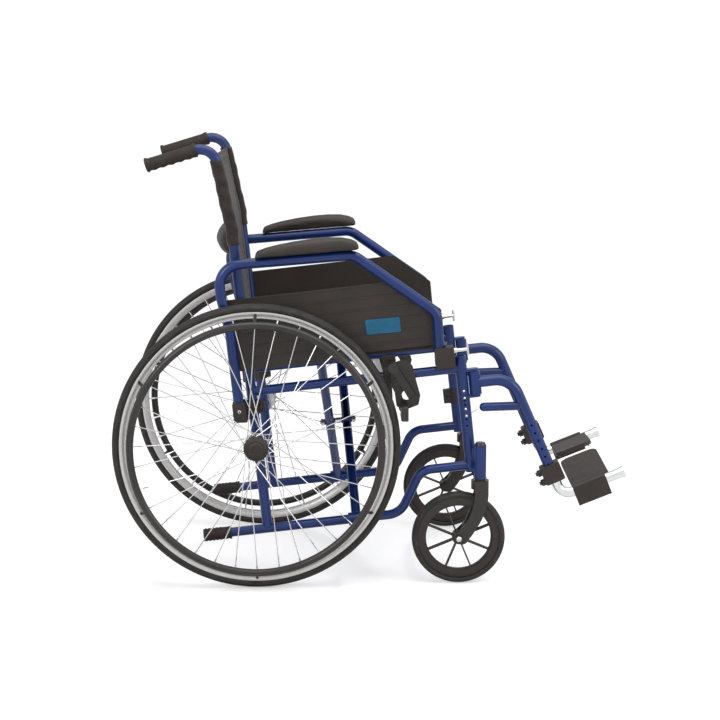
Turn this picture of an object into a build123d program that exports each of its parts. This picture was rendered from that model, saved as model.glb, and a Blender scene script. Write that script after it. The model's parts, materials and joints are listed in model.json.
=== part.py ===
"""Folding transport wheelchair, built piece by piece in millimetres, Z up, +X forward.

The welded frame leans back by frame_lean about the rear axle. Most points are given in
the frame's own coordinates (x along the rails, z along the posts, both from the axle)
and turned into the row's coordinates by at().
"""
import os
from math import cos, hypot, pi, radians, sin, tan

from build123d import *

os.makedirs("parts", exist_ok=True)

# Main sizes in millimetres, and angles in degrees
wheel_r = 305.0
caster_r = 100.0
frame_half = 217.0
wheel_half = 279.0
arm_half = 248.0
leg_half = 217.0
frame_lean = 6.3
axle_to_post = 449.5
rail_low = -193.5
rail_seat = 108.0
sling_height = 158.0
caster_forward = 475.5
caster_half = 248.0
caster_trail = 45.5

# Tube radii and walls
r_upright = 11.0
r_rail = 10.0
r_post = 12.5
r_arm = 11.0
r_brace = 10.0
r_hanger = 12.0
r_foot = 11.0
r_handrim = 8.0
wall = 1.6

# Clearances: running fits, seats between fixed pieces, and gaps between moving ones
run_fit = 0.05
seat_gap = 0.1
move_gap = 0.5

c = cos(radians(frame_lean))
s = sin(radians(frame_lean))

# Legrest line in frame coordinates: the corner points of hanger and foot tube
hinge_x = axle_to_post + r_post + 13.5
leg_top_z = 74.0
leg_corner_x = 553.8
hanger_lean = 17.4
foot_rise = 15.5
foot_low = (637.5, -194.0)
foot_length = 139.5
hanger_dir = (sin(radians(hanger_lean)), -cos(radians(hanger_lean)))
foot_dir = (cos(radians(foot_rise)), sin(radians(foot_rise)))
foot_end = (foot_low[0] + foot_length * foot_dir[0], foot_low[1] + foot_length * foot_dir[1])

# The row's X origin is the middle of its length: from the rear tyre to the foot tube's cap
cap_reach = foot_end[0] * c - foot_end[1] * s + 4 * cos(radians(foot_rise + frame_lean))
front_reach = cap_reach + (r_foot + 1.5) * sin(radians(foot_rise + frame_lean))
axle_x = -(front_reach - wheel_r) / 2


def at(x, y, z):
    """A point of the leaning frame in the row's coordinates."""
    return Vector(axle_x + x * c - z * s, y, wheel_r + x * s + z * c)


along = Vector(c, 0, s)
upward = Vector(-s, 0, c)


def side_plane(y, x=0.0, z=0.0):
    """Sketch plane seen from the chair's right: u is frame x, v is frame z, normal -Y."""
    return Plane(origin=at(x, y, z), x_dir=along, z_dir=(0, -1, 0))


def cross_plane(x, y=0.0, z=0.0):
    """Sketch plane across the rails: u is Y, v is frame z, normal is frame +x."""
    return Plane(origin=at(x, y, z), x_dir=(0, 1, 0), z_dir=along)


def plan_plane(z, x=0.0, y=0.0):
    """Sketch plane across the posts: u is frame x, v is Y, normal is frame +z."""
    return Plane(origin=at(x, y, z), x_dir=along, z_dir=upward)


def bent_line(points, bends):
    """Straight runs joined by arcs, one bend radius for each inner point."""
    start = points[0]
    for middle, after, bend in zip(points[1:-1], points[2:], bends):
        back = (start - middle).normalized()
        ahead = (after - middle).normalized()
        half_angle = radians(back.get_angle(ahead)) / 2
        inward = (back + ahead).normalized()
        arc_start = middle + back * (bend / tan(half_angle))
        arc_end = middle + ahead * (bend / tan(half_angle))
        arc_mid = middle + inward * (bend / sin(half_angle) - bend)
        Line(start, arc_start)
        ThreePointArc(arc_start, arc_mid, arc_end)
        start = arc_end
    Line(start, points[-1])


def run_tube(points, radius, bends=(), mode=Mode.ADD):
    """Sweep a round bar along points given in the row's coordinates."""
    with BuildLine() as path:
        bent_line(points, bends)
    with BuildSketch(Plane(origin=path.line @ 0, z_dir=path.line % 0)) as ring:
        Circle(radius)
    sweep(sections=ring.sketch, path=path.line, mode=mode)


def rod(start, end, radius, mode=Mode.ADD):
    """A straight round bar between two points."""
    run_tube((start, end), radius, mode=mode)


def slab(plane, points, thickness, round_r=0.0, mode=Mode.ADD):
    """A plate from a closed outline, its thickness split evenly about the plane."""
    with BuildSketch(plane) as face:
        with BuildLine() as rim:
            Polyline(*points, close=True)
        make_face()
        if round_r > 0:
            fillet(face.vertices(), radius=round_r)
    extrude(to_extrude=face.sketch, amount=thickness / 2, both=True, mode=mode)


def finish(piece, label):
    """Label a finished piece and write its STEP file."""
    piece.part.label = label
    export_step(piece.part, f"parts/{label}.step")
    print(label, round(piece.part.volume / 1000, 1), "cm3")


# Folding cross-brace: half span, rise and arm length
brace_rise = sling_height - rail_low
brace_length = hypot(2 * frame_half, brace_rise)
brace_a_x = 154.0
brace_b_x = 192.0

# Armrest line in frame coordinates
arm_pivot = (-28.0, 74.5)
arm_points = (
    arm_pivot,
    (-28.0, 245.0),
    (-38.0, 318.0),
    (-38.0, 386.0),
    (248.0, 378.0),
    (410.0, 236.8),
    (405.3, 125.0),
)
socket_front = 437.0
socket_wall = 420.6
plunger_z = 152.0

# Skirt guard: its level top edge, in frame coordinates
panel_top = 310.5

# Cane: the upper part leans back a little more than the upright
cane_bend = (0.0, 457.0)
cane_corner = (-18.5, 636.9)
grip_end = (-164.1, 609.7)
grip_length = 112.0
cane_bends = (60.0, 35.0)
sling_top = 604.0
sleeve_bottom = 424.0
sling_bottom = 215.0

for hand, side in (("right", -1.0), ("left", 1.0)):
    y_frame = side * frame_half
    y_arm = side * arm_half
    y_leg = side * leg_half
    y_caster = side * caster_half
    outward = Vector(0, side, 0)
    post_x = axle_to_post
    caster_x = axle_x + caster_forward

    # Front frame: post, seat rail, caster housing and the legrest's hinge lugs
    with BuildPart() as front_frame:
        rod(at(post_x, y_frame, -118), at(post_x, y_frame, 135), r_post)
        rod(at(0, y_frame, rail_seat), at(post_x, y_frame, rail_seat), r_rail)
        rod(Vector(caster_x, y_caster, 228), Vector(caster_x, y_caster, 300), 13.0)
        web_z = 265.0
        foot_of_post = at(post_x, y_frame, (web_z - wheel_r - post_x * s) / c)
        post_at = Vector(foot_of_post.X, y_frame, web_z)
        housing_at = Vector(caster_x, y_caster, web_z)
        reach = housing_at - post_at
        web_plane = Plane(origin=(post_at + housing_at) / 2, x_dir=reach, z_dir=(0, 0, 1))
        with BuildSketch(web_plane) as web:
            Rectangle(reach.length, 12.0)
        extrude(to_extrude=web.sketch, amount=25.0, both=True)
        for lug_z in (45.5, 102.5):
            with BuildSketch(plan_plane(lug_z, post_x, y_frame)) as lug:
                with Locations(((hinge_x - post_x) / 2, 0)):
                    Rectangle(hinge_x - post_x, 20.0)
                with Locations((hinge_x - post_x, 0)):
                    Circle(10.0)
            extrude(to_extrude=lug.sketch, amount=2.5, both=True)
        rod(at(hinge_x, y_frame, 44), at(hinge_x, y_frame, 104), 4.0)
        rod(at(-5, y_frame, rail_seat), at(post_x, y_frame, rail_seat), r_rail - wall, Mode.SUBTRACT)
        rod(at(post_x, y_frame, -119), at(post_x, y_frame, 136), r_post - wall, Mode.SUBTRACT)
        rod(at(0, y_frame, 60), at(0, y_frame, 150), r_upright + seat_gap, Mode.SUBTRACT)
        rod(
            Vector(caster_x, y_caster, 227),
            Vector(caster_x, y_caster, 301),
            8.0 + run_fit,
            Mode.SUBTRACT,
        )
        for hole_z in (39.0, 30.0, -2.0, -16.0):
            rod(
                at(post_x, y_frame, hole_z),
                at(post_x, y_frame + side * 20, hole_z),
                2.2,
                Mode.SUBTRACT,
            )
    finish(front_frame, f"{hand}_front_frame")

    # Rear upright with its cane and handle bend, and the rear wheel's spindle
    cane_line = (
        at(0, y_frame, rail_low + 4),
        at(cane_bend[0], y_frame, cane_bend[1]),
        at(cane_corner[0], y_frame, cane_corner[1]),
        at(grip_end[0] + 6, y_frame, grip_end[1] + 1.1),
    )
    axle_at = at(0, y_frame, 0)
    with BuildPart() as rear_upright:
        run_tube(cane_line, r_upright, cane_bends)
        rod(axle_at, axle_at + outward * 41.5, 13.0)
        run_tube(cane_line, r_upright - wall, cane_bends, Mode.SUBTRACT)
        rod(
            at(-40, y_frame, rail_low),
            at(40, y_frame, rail_low),
            r_rail + seat_gap,
            Mode.SUBTRACT,
        )
        rod(axle_at - outward * 14, axle_at + outward * 96, 6.0)
        rod(axle_at - outward * 19, axle_at - outward * 11, 9.5)
    finish(rear_upright, f"{hand}_rear_upright")

    # Lower rail: from the tipping pedal forward, up over the caster and into the post
    rail_line = (
        at(-134, y_frame, rail_low),
        at(287, y_frame, rail_low),
        at(341, y_frame, -104),
        at(post_x, y_frame, -104),
    )
    with BuildPart() as lower_rail:
        run_tube(rail_line, r_rail, (45.0, 40.0))
        run_tube(rail_line, r_rail - wall, (45.0, 40.0), Mode.SUBTRACT)
        rod(
            at(post_x, y_frame, -140),
            at(post_x, y_frame, -60),
            r_post + seat_gap,
            Mode.SUBTRACT,
        )
    finish(lower_rail, f"{hand}_lower_rail")

    # Rubber pedal cap on the lower rail's rear end, with grip rings
    with BuildPart() as tip_cap:
        rod(at(-139, y_frame, rail_low), at(-79, y_frame, rail_low), 13.0)
        for ring_x in (-136.0, -128.0, -120.0, -112.0, -104.0):
            rod(at(ring_x, y_frame, rail_low), at(ring_x + 4, y_frame, rail_low), 14.0)
        rod(at(-83, y_frame, rail_low), at(-79, y_frame, rail_low), 14.0)
        rod(
            at(-134.3, y_frame, rail_low),
            at(-78, y_frame, rail_low),
            r_rail + seat_gap,
            Mode.SUBTRACT,
        )
    finish(tip_cap, f"{hand}_tip_cap")

    # Push grip: moulded sleeve with an end flange and finger ridges below
    grip_back = at(grip_end[0], y_frame, grip_end[1])
    grip_way = (cane_line[2] - cane_line[3]).normalized()
    grip_down = Vector(grip_way.Z, 0, -grip_way.X)
    with BuildPart() as push_grip:
        rod(grip_back, grip_back + grip_way * grip_length, 13.2)
        rod(grip_back, grip_back + grip_way * 7, 16.5)
        rod(
            grip_back + grip_way * (grip_length - 4),
            grip_back + grip_way * grip_length,
            14.6,
        )
        for bump in (18.0, 36.0, 54.0, 72.0, 90.0):
            bump_at = grip_back + grip_way * bump + grip_down * 5.0
            rod(bump_at - grip_way * 6, bump_at + grip_way * 6, 10.6)
        rod(
            grip_back + grip_way * 5,
            grip_back + grip_way * (grip_length + 2),
            r_upright + seat_gap,
            Mode.SUBTRACT,
        )
    finish(push_grip, f"{hand}_push_grip")

    # Rear wheel: solid tyre, box rim, laced spokes, hub shell and handrim
    wheel_at = Vector(axle_x, side * wheel_half, wheel_r)
    wheel_plane = Plane(origin=wheel_at, x_dir=(1, 0, 0), z_dir=(0, -side, 0))
    wheel_section = Plane(origin=wheel_at, x_dir=(0, 0, 1), z_dir=(-1, 0, 0))
    wheel_axis = Axis(wheel_at, (0, 1, 0))
    tyre_base = wheel_r - 15.6
    with BuildPart() as tyre:
        with BuildSketch(wheel_section) as tread:
            with BuildLine() as outline:
                Polyline(
                    (tyre_base, -13.0),
                    (tyre_base + 4.5, -16.5),
                    (tyre_base + 9.5, -15.5),
                )
                ThreePointArc(
                    (tyre_base + 9.5, -15.5),
                    (wheel_r, 0.0),
                    (tyre_base + 9.5, 15.5),
                )
                Polyline(
                    (tyre_base + 9.5, 15.5),
                    (tyre_base + 4.5, 16.5),
                    (tyre_base, 13.0),
                    (tyre_base, -13.0),
                )
            make_face()
        revolve(axis=wheel_axis)
    finish(tyre, f"{hand}_tyre")

    rim_top = tyre_base - 0.2
    rim_base = 273.5
    with BuildPart() as rim:
        with BuildSketch(wheel_section) as box:
            with BuildLine() as outline:
                Polyline(
                    (rim_top, -12.5),
                    (rim_top - 5.0, -13.2),
                    (rim_base + 3.0, -11.0),
                    (rim_base, -6.5),
                    (rim_base, 6.5),
                    (rim_base + 3.0, 11.0),
                    (rim_top - 5.0, 13.2),
                    (rim_top, 12.5),
                    (rim_top - 7.0, 9.0),
                    (rim_top - 7.0, -9.0),
                    (rim_top, -12.5),
                )
            make_face()
        revolve(axis=wheel_axis)
    finish(rim, f"{hand}_rim")

    # Spokes: two thin flanges on a sleeve, eighteen crossed spokes from each
    flange_r = 23.0
    flange_in = -17.0
    flange_out = 21.0
    with BuildPart() as spokes:
        rod(wheel_at + outward * flange_in, wheel_at + outward * flange_out, 9.0)
        for flange_y in (flange_in, flange_out):
            rod(
                wheel_at + outward * (flange_y - 1.0),
                wheel_at + outward * (flange_y + 1.0),
                flange_r + 2.0,
            )
        for number in range(36):
            inner = flange_in if number % 2 else flange_out
            sweep_way = 1 if number % 4 < 2 else -1
            rim_angle = radians(number * 10.0)
            hub_angle = rim_angle + sweep_way * radians(68.0)
            start = Vector(flange_r * cos(hub_angle), side * inner, flange_r * sin(hub_angle))
            reach_r = rim_base - 0.2
            end = Vector(reach_r * cos(rim_angle), side * inner * 0.08, reach_r * sin(rim_angle))
            rod(wheel_at + start, wheel_at + end, 1.1)
        rod(
            wheel_at + outward * (flange_in - 3),
            wheel_at + outward * (flange_out + 3),
            6.0 + run_fit,
            Mode.SUBTRACT,
        )
    finish(spokes, f"{hand}_spokes")

    # Hub shell: a waisted body between the flanges and stepped caps outside them
    with BuildPart() as hub:
        with BuildSketch(wheel_section) as shell:
            with BuildLine() as outline:
                Polyline(
                    (9.1, side * (flange_in + 1.1)),
                    (20.0, side * (flange_in + 1.1)),
                    (15.0, side * (flange_in + 7.0)),
                    (15.0, side * (flange_out - 7.0)),
                    (20.0, side * (flange_out - 1.1)),
                    (9.1, side * (flange_out - 1.1)),
                    (9.1, side * (flange_in + 1.1)),
                )
            make_face()
        revolve(axis=wheel_axis)
        with BuildSketch(wheel_section) as cap:
            with BuildLine() as outline:
                Polyline(
                    (0.0, side * (flange_out + 14.5)),
                    (6.3, side * (flange_out + 14.5)),
                    (6.3, side * (flange_out + 1.1)),
                    (26.5, side * (flange_out + 1.1)),
                    (26.5, side * (flange_out + 4.0)),
                    (17.0, side * (flange_out + 7.0)),
                    (16.0, side * (flange_out + 15.0)),
                    (11.0, side * (flange_out + 17.5)),
                    (0.0, side * (flange_out + 18.0)),
                    (0.0, side * (flange_out + 14.5)),
                )
            make_face()
        revolve(axis=wheel_axis)
    finish(hub, f"{hand}_hub")

    # Handrim on six short standoffs
    handrim_r = 264.0
    handrim_out = 39.0
    with BuildPart() as handrim:
        ring_at = wheel_at + outward * handrim_out
        ring_section = Plane(origin=ring_at, x_dir=(0, 0, 1), z_dir=(-1, 0, 0))
        with BuildSketch(ring_section) as ring:
            with Locations((handrim_r, 0)):
                RegularPolygon(r_handrim, 16)
        revolve(axis=wheel_axis)
        for number in range(6):
            turn = radians(30.0 + 60.0 * number)
            ray = Vector(cos(turn), 0, sin(turn))
            rod(
                wheel_at + ray * (rim_base + 8.0) + outward * 13.8,
                ring_at + ray * (handrim_r + 2.0),
                3.5,
            )
    finish(handrim, f"{hand}_handrim")

    # Caster: fork with curved blades, bladed wheel and tyre
    stem_at = Vector(caster_x, y_caster, 0)
    caster_axle_x = caster_x - caster_trail
    caster_at = Vector(caster_axle_x, y_caster, caster_r)
    fork_plane = Plane(origin=Vector(0, y_caster, 0), x_dir=(1, 0, 0), z_dir=(0, -1, 0))
    with BuildPart() as caster_fork:
        with BuildSketch(fork_plane) as blade:
            with BuildLine() as outline:
                Spline(
                    (caster_x - 14.0, 224.0),
                    (caster_x - 12.0, 190.0),
                    (caster_x - 22.0, 150.0),
                    (caster_axle_x - 3.0, 113.0),
                )
                Spline(
                    (caster_axle_x - 3.0, 113.0),
                    (caster_axle_x - 12.0, 100.0),
                    (caster_axle_x + 3.0, 87.5),
                    (caster_axle_x + 19.0, 95.0),
                )
                Spline(
                    (caster_axle_x + 19.0, 95.0),
                    (caster_x - 8.0, 121.0),
                    (caster_x + 10.0, 158.0),
                    (caster_x + 15.0, 224.0),
                )
                Line((caster_x + 15.0, 224.0), (caster_x - 14.0, 224.0))
            make_face()
        extrude(to_extrude=blade.sketch, amount=19.0, both=True)
        with BuildSketch(fork_plane) as gap:
            with Locations((caster_x - 20.0, 100.0)):
                Rectangle(170.0, 212.0)
        extrude(to_extrude=gap.sketch, amount=14.5, both=True, mode=Mode.SUBTRACT)
        with BuildSketch(Plane.XY.offset(206.0)) as crown:
            with Locations((caster_x, y_caster)):
                Circle(19.0)
        extrude(to_extrude=crown.sketch, amount=19.0)
        rod(stem_at + Vector(0, 0, 224), stem_at + Vector(0, 0, 304), 8.0)
        rod(stem_at + Vector(0, 0, 224), stem_at + Vector(0, 0, 227.4), 11.5)
        with BuildSketch(Plane.XY.offset(300.6)) as dome:
            with Locations((caster_x, y_caster)):
                Circle(12.5)
        extrude(to_extrude=dome.sketch, amount=6.0, taper=25.0)
        rod(caster_at - outward * 24, caster_at + outward * 24, 4.0)
        for end in (-1, 1):
            rod(caster_at + outward * (19 * end), caster_at + outward * (24 * end), 8.0)
    finish(caster_fork, f"{hand}_caster_fork")

    caster_plane = Plane(origin=caster_at, x_dir=(1, 0, 0), z_dir=(0, -1, 0))
    caster_section = Plane(origin=caster_at, x_dir=(0, 0, 1), z_dir=(-1, 0, 0))
    caster_axis = Axis(caster_at, (0, 1, 0))
    with BuildPart() as caster_wheel:
        with BuildSketch(caster_section) as ring:
            with BuildLine() as outline:
                Polyline(
                    (88.0, -9.0),
                    (82.0, -10.5),
                    (72.0, -9.5),
                    (69.5, -6.0),
                    (69.5, 6.0),
                    (72.0, 9.5),
                    (82.0, 10.5),
                    (88.0, 9.0),
                    (88.0, -9.0),
                )
            make_face()
        revolve(axis=caster_axis)
        rod(caster_at - outward * 13.5, caster_at + outward * 13.5, 13.5)
        for number in range(8):
            with BuildSketch(caster_plane) as blade:
                with PolarLocations(0, 1, start_angle=22.5 + number * 45.0):
                    with Locations((41.5, 0)):
                        Rectangle(60.0, 3.0)
            extrude(to_extrude=blade.sketch, amount=7.5, both=True)
        rod(caster_at - outward * 15, caster_at + outward * 15, 4.0 + run_fit, Mode.SUBTRACT)
    finish(caster_wheel, f"{hand}_caster_wheel")

    with BuildPart() as caster_tyre:
        with BuildSketch(caster_section) as tread:
            with BuildLine() as outline:
                Polyline((88.2, -11.0), (93.0, -12.5))
                ThreePointArc((93.0, -12.5), (caster_r, 0.0), (93.0, 12.5))
                Polyline((93.0, 12.5), (88.2, 11.0), (88.2, -11.0))
            make_face()
        revolve(axis=caster_axis)
    finish(caster_tyre, f"{hand}_caster_tyre")

    # Armrest: bent tube with a bored lower end, a pad and a ribbed skirt guard
    arm_line = [at(x, y_arm, z) for x, z in arm_points]
    arm_bends = (80.0, 60.0, 46.0, 40.0, 32.0)
    pivot_at = arm_line[0]
    with BuildPart() as armrest_tube:
        run_tube(arm_line, r_arm, arm_bends)
        rod(pivot_at - outward * r_arm, pivot_at + outward * r_arm, r_arm)
        bore_line = [at(arm_pivot[0], y_arm, arm_pivot[1] + 22)] + arm_line[1:]
        run_tube(bore_line, r_arm - wall, arm_bends, Mode.SUBTRACT)
        rod(
            pivot_at - outward * 20,
            pivot_at + outward * 20,
            5.0 + run_fit,
            Mode.SUBTRACT,
        )
    finish(armrest_tube, f"{hand}_armrest_tube")

    with BuildPart() as armrest_pad:
        with BuildSketch(side_plane(side * (arm_half + 7.0))) as cushion:
            with BuildLine() as outline:
                Spline(
                    (41.0, 395.4),
                    (46.0, 409.0),
                    (90.0, 418.0),
                    (165.0, 422.5),
                    (228.0, 419.0),
                    (259.0, 408.0),
                    (263.0, 389.2),
                )
                Line((263.0, 389.2), (41.0, 395.4))
            make_face()
        extrude(to_extrude=cushion.sketch, amount=22.0, both=True)
        fillet(armrest_pad.edges().filter_by(GeomType.BSPLINE), radius=6.0)
    finish(armrest_pad, f"{hand}_armrest_pad")

    with BuildPart() as side_panel:
        slab(
            side_plane(side * (frame_half + 16.5)),
            (
                (-28.0, 156.5),
                (-28.0, 240.0),
                (-38.0, panel_top),
                (341.0, panel_top),
                (420.0, 241.0),
                (419.0, 167.0),
                (236.0, 167.0),
                (206.0, 156.5),
            ),
            3.0,
            round_r=5.0,
        )
        for boss_x, boss_z in (
            (-28.0, 200.0),
            (-37.0, 301.0),
            (345.0, 293.5),
            (390.0, 254.2),
            (408.0, 190.0),
        ):
            rod(
                at(boss_x, side * (frame_half + 17.0), boss_z),
                at(boss_x, side * (arm_half - r_arm - 3 * seat_gap), boss_z),
                5.5,
            )
        for rib_z, rib_start, rib_end in (
            (panel_top - 2.0, -14.0, 313.0),
            (284.0, -10.0, 341.0),
            (258.5, -6.0, 371.0),
            (233.0, -3.0, 378.0),
            (207.5, -3.0, 378.0),
            (182.0, -3.0, 378.0),
        ):
            slab(
                side_plane(side * (frame_half + 18.4)),
                (
                    (rib_start, rib_z - 1.6),
                    (rib_end, rib_z - 1.6),
                    (rib_end, rib_z + 1.6),
                    (rib_start, rib_z + 1.6),
                ),
                2.0,
            )
        slab(
            side_plane(side * (frame_half + 18.4)),
            ((385.0, 171.0), (390.0, 171.0), (390.0, 236.0), (385.0, 236.0)),
            2.0,
        )
    finish(side_panel, f"{hand}_side_panel")

    # Hinge of the flip-back armrest: clamp on the upright, fork and pin
    with BuildPart() as arm_hinge:
        rod(at(0, y_frame, 60), at(0, y_frame, 89), 16.0)
        slab(
            side_plane(side * (frame_half + 16.0)),
            ((-42.0, 52.0), (-12.0, 50.0), (4.0, 62.0), (4.0, 87.0), (-16.0, 96.0), (-42.0, 94.0)),
            6.4,
            round_r=4.0,
        )
        slab(
            side_plane(side * (arm_half + 12.7)),
            ((-42.0, 52.0), (-14.0, 50.0), (-14.0, 94.0), (-42.0, 94.0)),
            2.4,
            round_r=4.0,
        )
        slab(
            side_plane(side * (frame_half + 29.5)),
            ((-42.0, 52.0), (-14.0, 50.0), (-14.0, 58.0), (-42.0, 60.0)),
            30.0,
        )
        slab(
            side_plane(side * (frame_half + 9.0)),
            ((-12.0, 64.0), (4.0, 64.0), (4.0, 85.0), (-12.0, 85.0)),
            12.0,
        )
        slab(
            side_plane(y_frame),
            ((11.0, 62.0), (25.0, 62.0), (25.0, 87.0), (11.0, 87.0)),
            14.0,
            round_r=2.0,
        )
        rod(
            at(0, y_frame, 50),
            at(0, y_frame, 100),
            r_upright + seat_gap,
            Mode.SUBTRACT,
        )
        slab(
            side_plane(y_frame),
            ((11.0, 60.0), (27.0, 60.0), (27.0, 90.0), (11.0, 90.0)),
            3.0,
            mode=Mode.SUBTRACT,
        )
        rod(
            at(arm_pivot[0], side * (frame_half + 14), arm_pivot[1]),
            at(arm_pivot[0], side * (arm_half + 13.9), arm_pivot[1]),
            5.0,
        )
        rod(
            at(19.0, y_frame - 10.0, 74.5),
            at(19.0, y_frame + 10.0, 74.5),
            3.0,
        )
        rod(
            at(19.0, y_frame + side * 7.0, 74.5),
            at(19.0, y_frame + side * 11.0, 74.5),
            5.5,
        )
    finish(arm_hinge, f"{hand}_arm_hinge")

    # Socket for the armrest's front leg: rail clamp and a cup open at the back
    with BuildPart() as arm_socket:
        rod(at(398, y_frame, rail_seat), at(435, y_frame, rail_seat), 14.5)
        slab(
            side_plane(side * (frame_half + 15.0)),
            ((398.0, 112.0), (435.0, 112.0), (437.0, 126.0), (396.0, 126.0)),
            10.0,
        )
        slab(
            side_plane(side * (arm_half + 0.5)),
            (
                (397.5, 119.5),
                (435.5, 119.5),
                (socket_front, 124.0),
                (socket_front, 163.0),
                (396.0, 163.0),
                (396.0, 124.0),
            ),
            32.0,
            round_r=2.0,
        )
        slab(
            side_plane(y_arm),
            ((380.0, 124.0), (socket_wall, 124.0), (socket_wall, 170.0), (380.0, 170.0)),
            2 * (r_arm + move_gap),
            mode=Mode.SUBTRACT,
        )
        slab(
            side_plane(y_frame),
            ((390.0, 85.0), (445.0, 85.0), (445.0, 112.0), (390.0, 112.0)),
            40.0,
            mode=Mode.SUBTRACT,
        )
        rod(
            at(390, y_frame, rail_seat),
            at(440, y_frame, rail_seat),
            r_rail + seat_gap,
            Mode.SUBTRACT,
        )
        rod(
            at(socket_wall - 5, y_arm, plunger_z),
            at(socket_front + 5, y_arm, plunger_z),
            4.0 + run_fit,
            Mode.SUBTRACT,
        )
    finish(arm_socket, f"{hand}_arm_socket")

    # Spring plunger that holds the armrest down, with a cross bar to pull
    with BuildPart() as lock_plunger:
        rod(at(419.6, y_arm, plunger_z), at(465.0, y_arm, plunger_z), 4.0)
        rod(at(437.6, y_arm, plunger_z), at(444.0, y_arm, plunger_z), 6.0)
        rod(at(466.0, y_arm, plunger_z - 12.5), at(466.0, y_arm, plunger_z + 12.5), 2.6)
        chamfer(lock_plunger.faces().sort_by(Axis.X)[0].edges(), length=0.8)
    finish(lock_plunger, f"{hand}_lock_plunger")

    # Swing-away legrest: hinge barrel, bent hanger with height holes, short cross tube
    hanger_end = (
        leg_corner_x + 219.0 * hanger_dir[0],
        leg_top_z + 219.0 * hanger_dir[1],
    )
    hanger_line = (
        at(hinge_x + 5, y_leg, leg_top_z),
        at(leg_corner_x, y_leg, leg_top_z),
        at(hanger_end[0], y_leg, hanger_end[1]),
    )
    with BuildPart() as legrest_hanger:
        run_tube(hanger_line, r_hanger, (50.0,))
        rod(at(489.5, y_leg, 18.5), at(571, y_leg, 12.0), 9.5)
        with Locations(at(489.5, y_leg, 18.5)):
            Sphere(9.5)
        hollow_line = (at(hinge_x + 16, y_leg, leg_top_z),) + hanger_line[1:]
        run_tube(hollow_line, r_hanger - 2.0, (50.0,), Mode.SUBTRACT)
        rod(at(hinge_x, y_leg, 49.0), at(hinge_x, y_leg, 99.0), hinge_x - post_x - r_post - move_gap)
        rod(
            at(hinge_x, y_leg, 40.0),
            at(hinge_x, y_leg, 110.0),
            4.0 + run_fit,
            Mode.SUBTRACT,
        )
        for hole in range(6):
            step = 110.0 + hole * 18.6
            hole_x = leg_corner_x + step * hanger_dir[0]
            hole_z = leg_top_z + step * hanger_dir[1]
            rod(
                at(hole_x, y_leg + side * 5, hole_z),
                at(hole_x, y_leg + side * 20, hole_z),
                2.4,
                Mode.SUBTRACT,
            )
    finish(legrest_hanger, f"{hand}_legrest_hanger")

    foot_start = (
        leg_corner_x + 221.0 * hanger_dir[0],
        leg_top_z + 221.0 * hanger_dir[1],
    )
    foot_line = (
        at(foot_start[0], y_leg, foot_start[1]),
        at(foot_low[0], y_leg, foot_low[1]),
        at(foot_end[0], y_leg, foot_end[1]),
    )
    foot_way = (foot_line[2] - foot_line[1]).normalized()
    foot_up = Vector(-foot_way.Z, 0, foot_way.X)
    with BuildPart() as foot_tube:
        run_tube(foot_line, r_foot, (26.0,))
        run_tube(foot_line, r_foot - wall, (26.0,), Mode.SUBTRACT)
        rod(foot_line[2] - foot_way * 4, foot_line[2] + foot_way * 4, r_foot + 1.5)
    finish(foot_tube, f"{hand}_foot_tube")

    # Height clamp where the foot tube enters the hanger, with two bolts behind
    clamp_from = at(
        leg_corner_x + 204.0 * hanger_dir[0], y_leg, leg_top_z + 204.0 * hanger_dir[1]
    )
    clamp_to = at(
        leg_corner_x + 245.0 * hanger_dir[0], y_leg, leg_top_z + 245.0 * hanger_dir[1]
    )
    clamp_way = (clamp_to - clamp_from).normalized()
    clamp_front = Vector(-clamp_way.Z, 0, clamp_way.X)
    with BuildPart() as leg_clamp:
        block_plane = Plane(
            origin=(clamp_from + clamp_to) / 2, x_dir=clamp_way, z_dir=(0, -1, 0)
        )
        with BuildSketch(block_plane) as block:
            RectangleRounded((clamp_to - clamp_from).length, 44.0, 5.0)
        extrude(to_extrude=block.sketch, amount=16.5, both=True)
        for step in (12.0, 34.0):
            bolt_at = clamp_from + clamp_way * step - clamp_front * 21
            rod(bolt_at, bolt_at - clamp_front * 9, 7.5)
            rod(bolt_at - clamp_front * 9, bolt_at - clamp_front * 13, 4.5)
        rod(
            clamp_from - clamp_way * 2,
            hanger_line[2] + clamp_way * 1.0,
            r_hanger + seat_gap,
            Mode.SUBTRACT,
        )
        rod(
            clamp_from + clamp_way * 8,
            clamp_to + clamp_way * 2,
            r_foot + seat_gap,
            Mode.SUBTRACT,
        )
    finish(leg_clamp, f"{hand}_leg_clamp")

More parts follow.
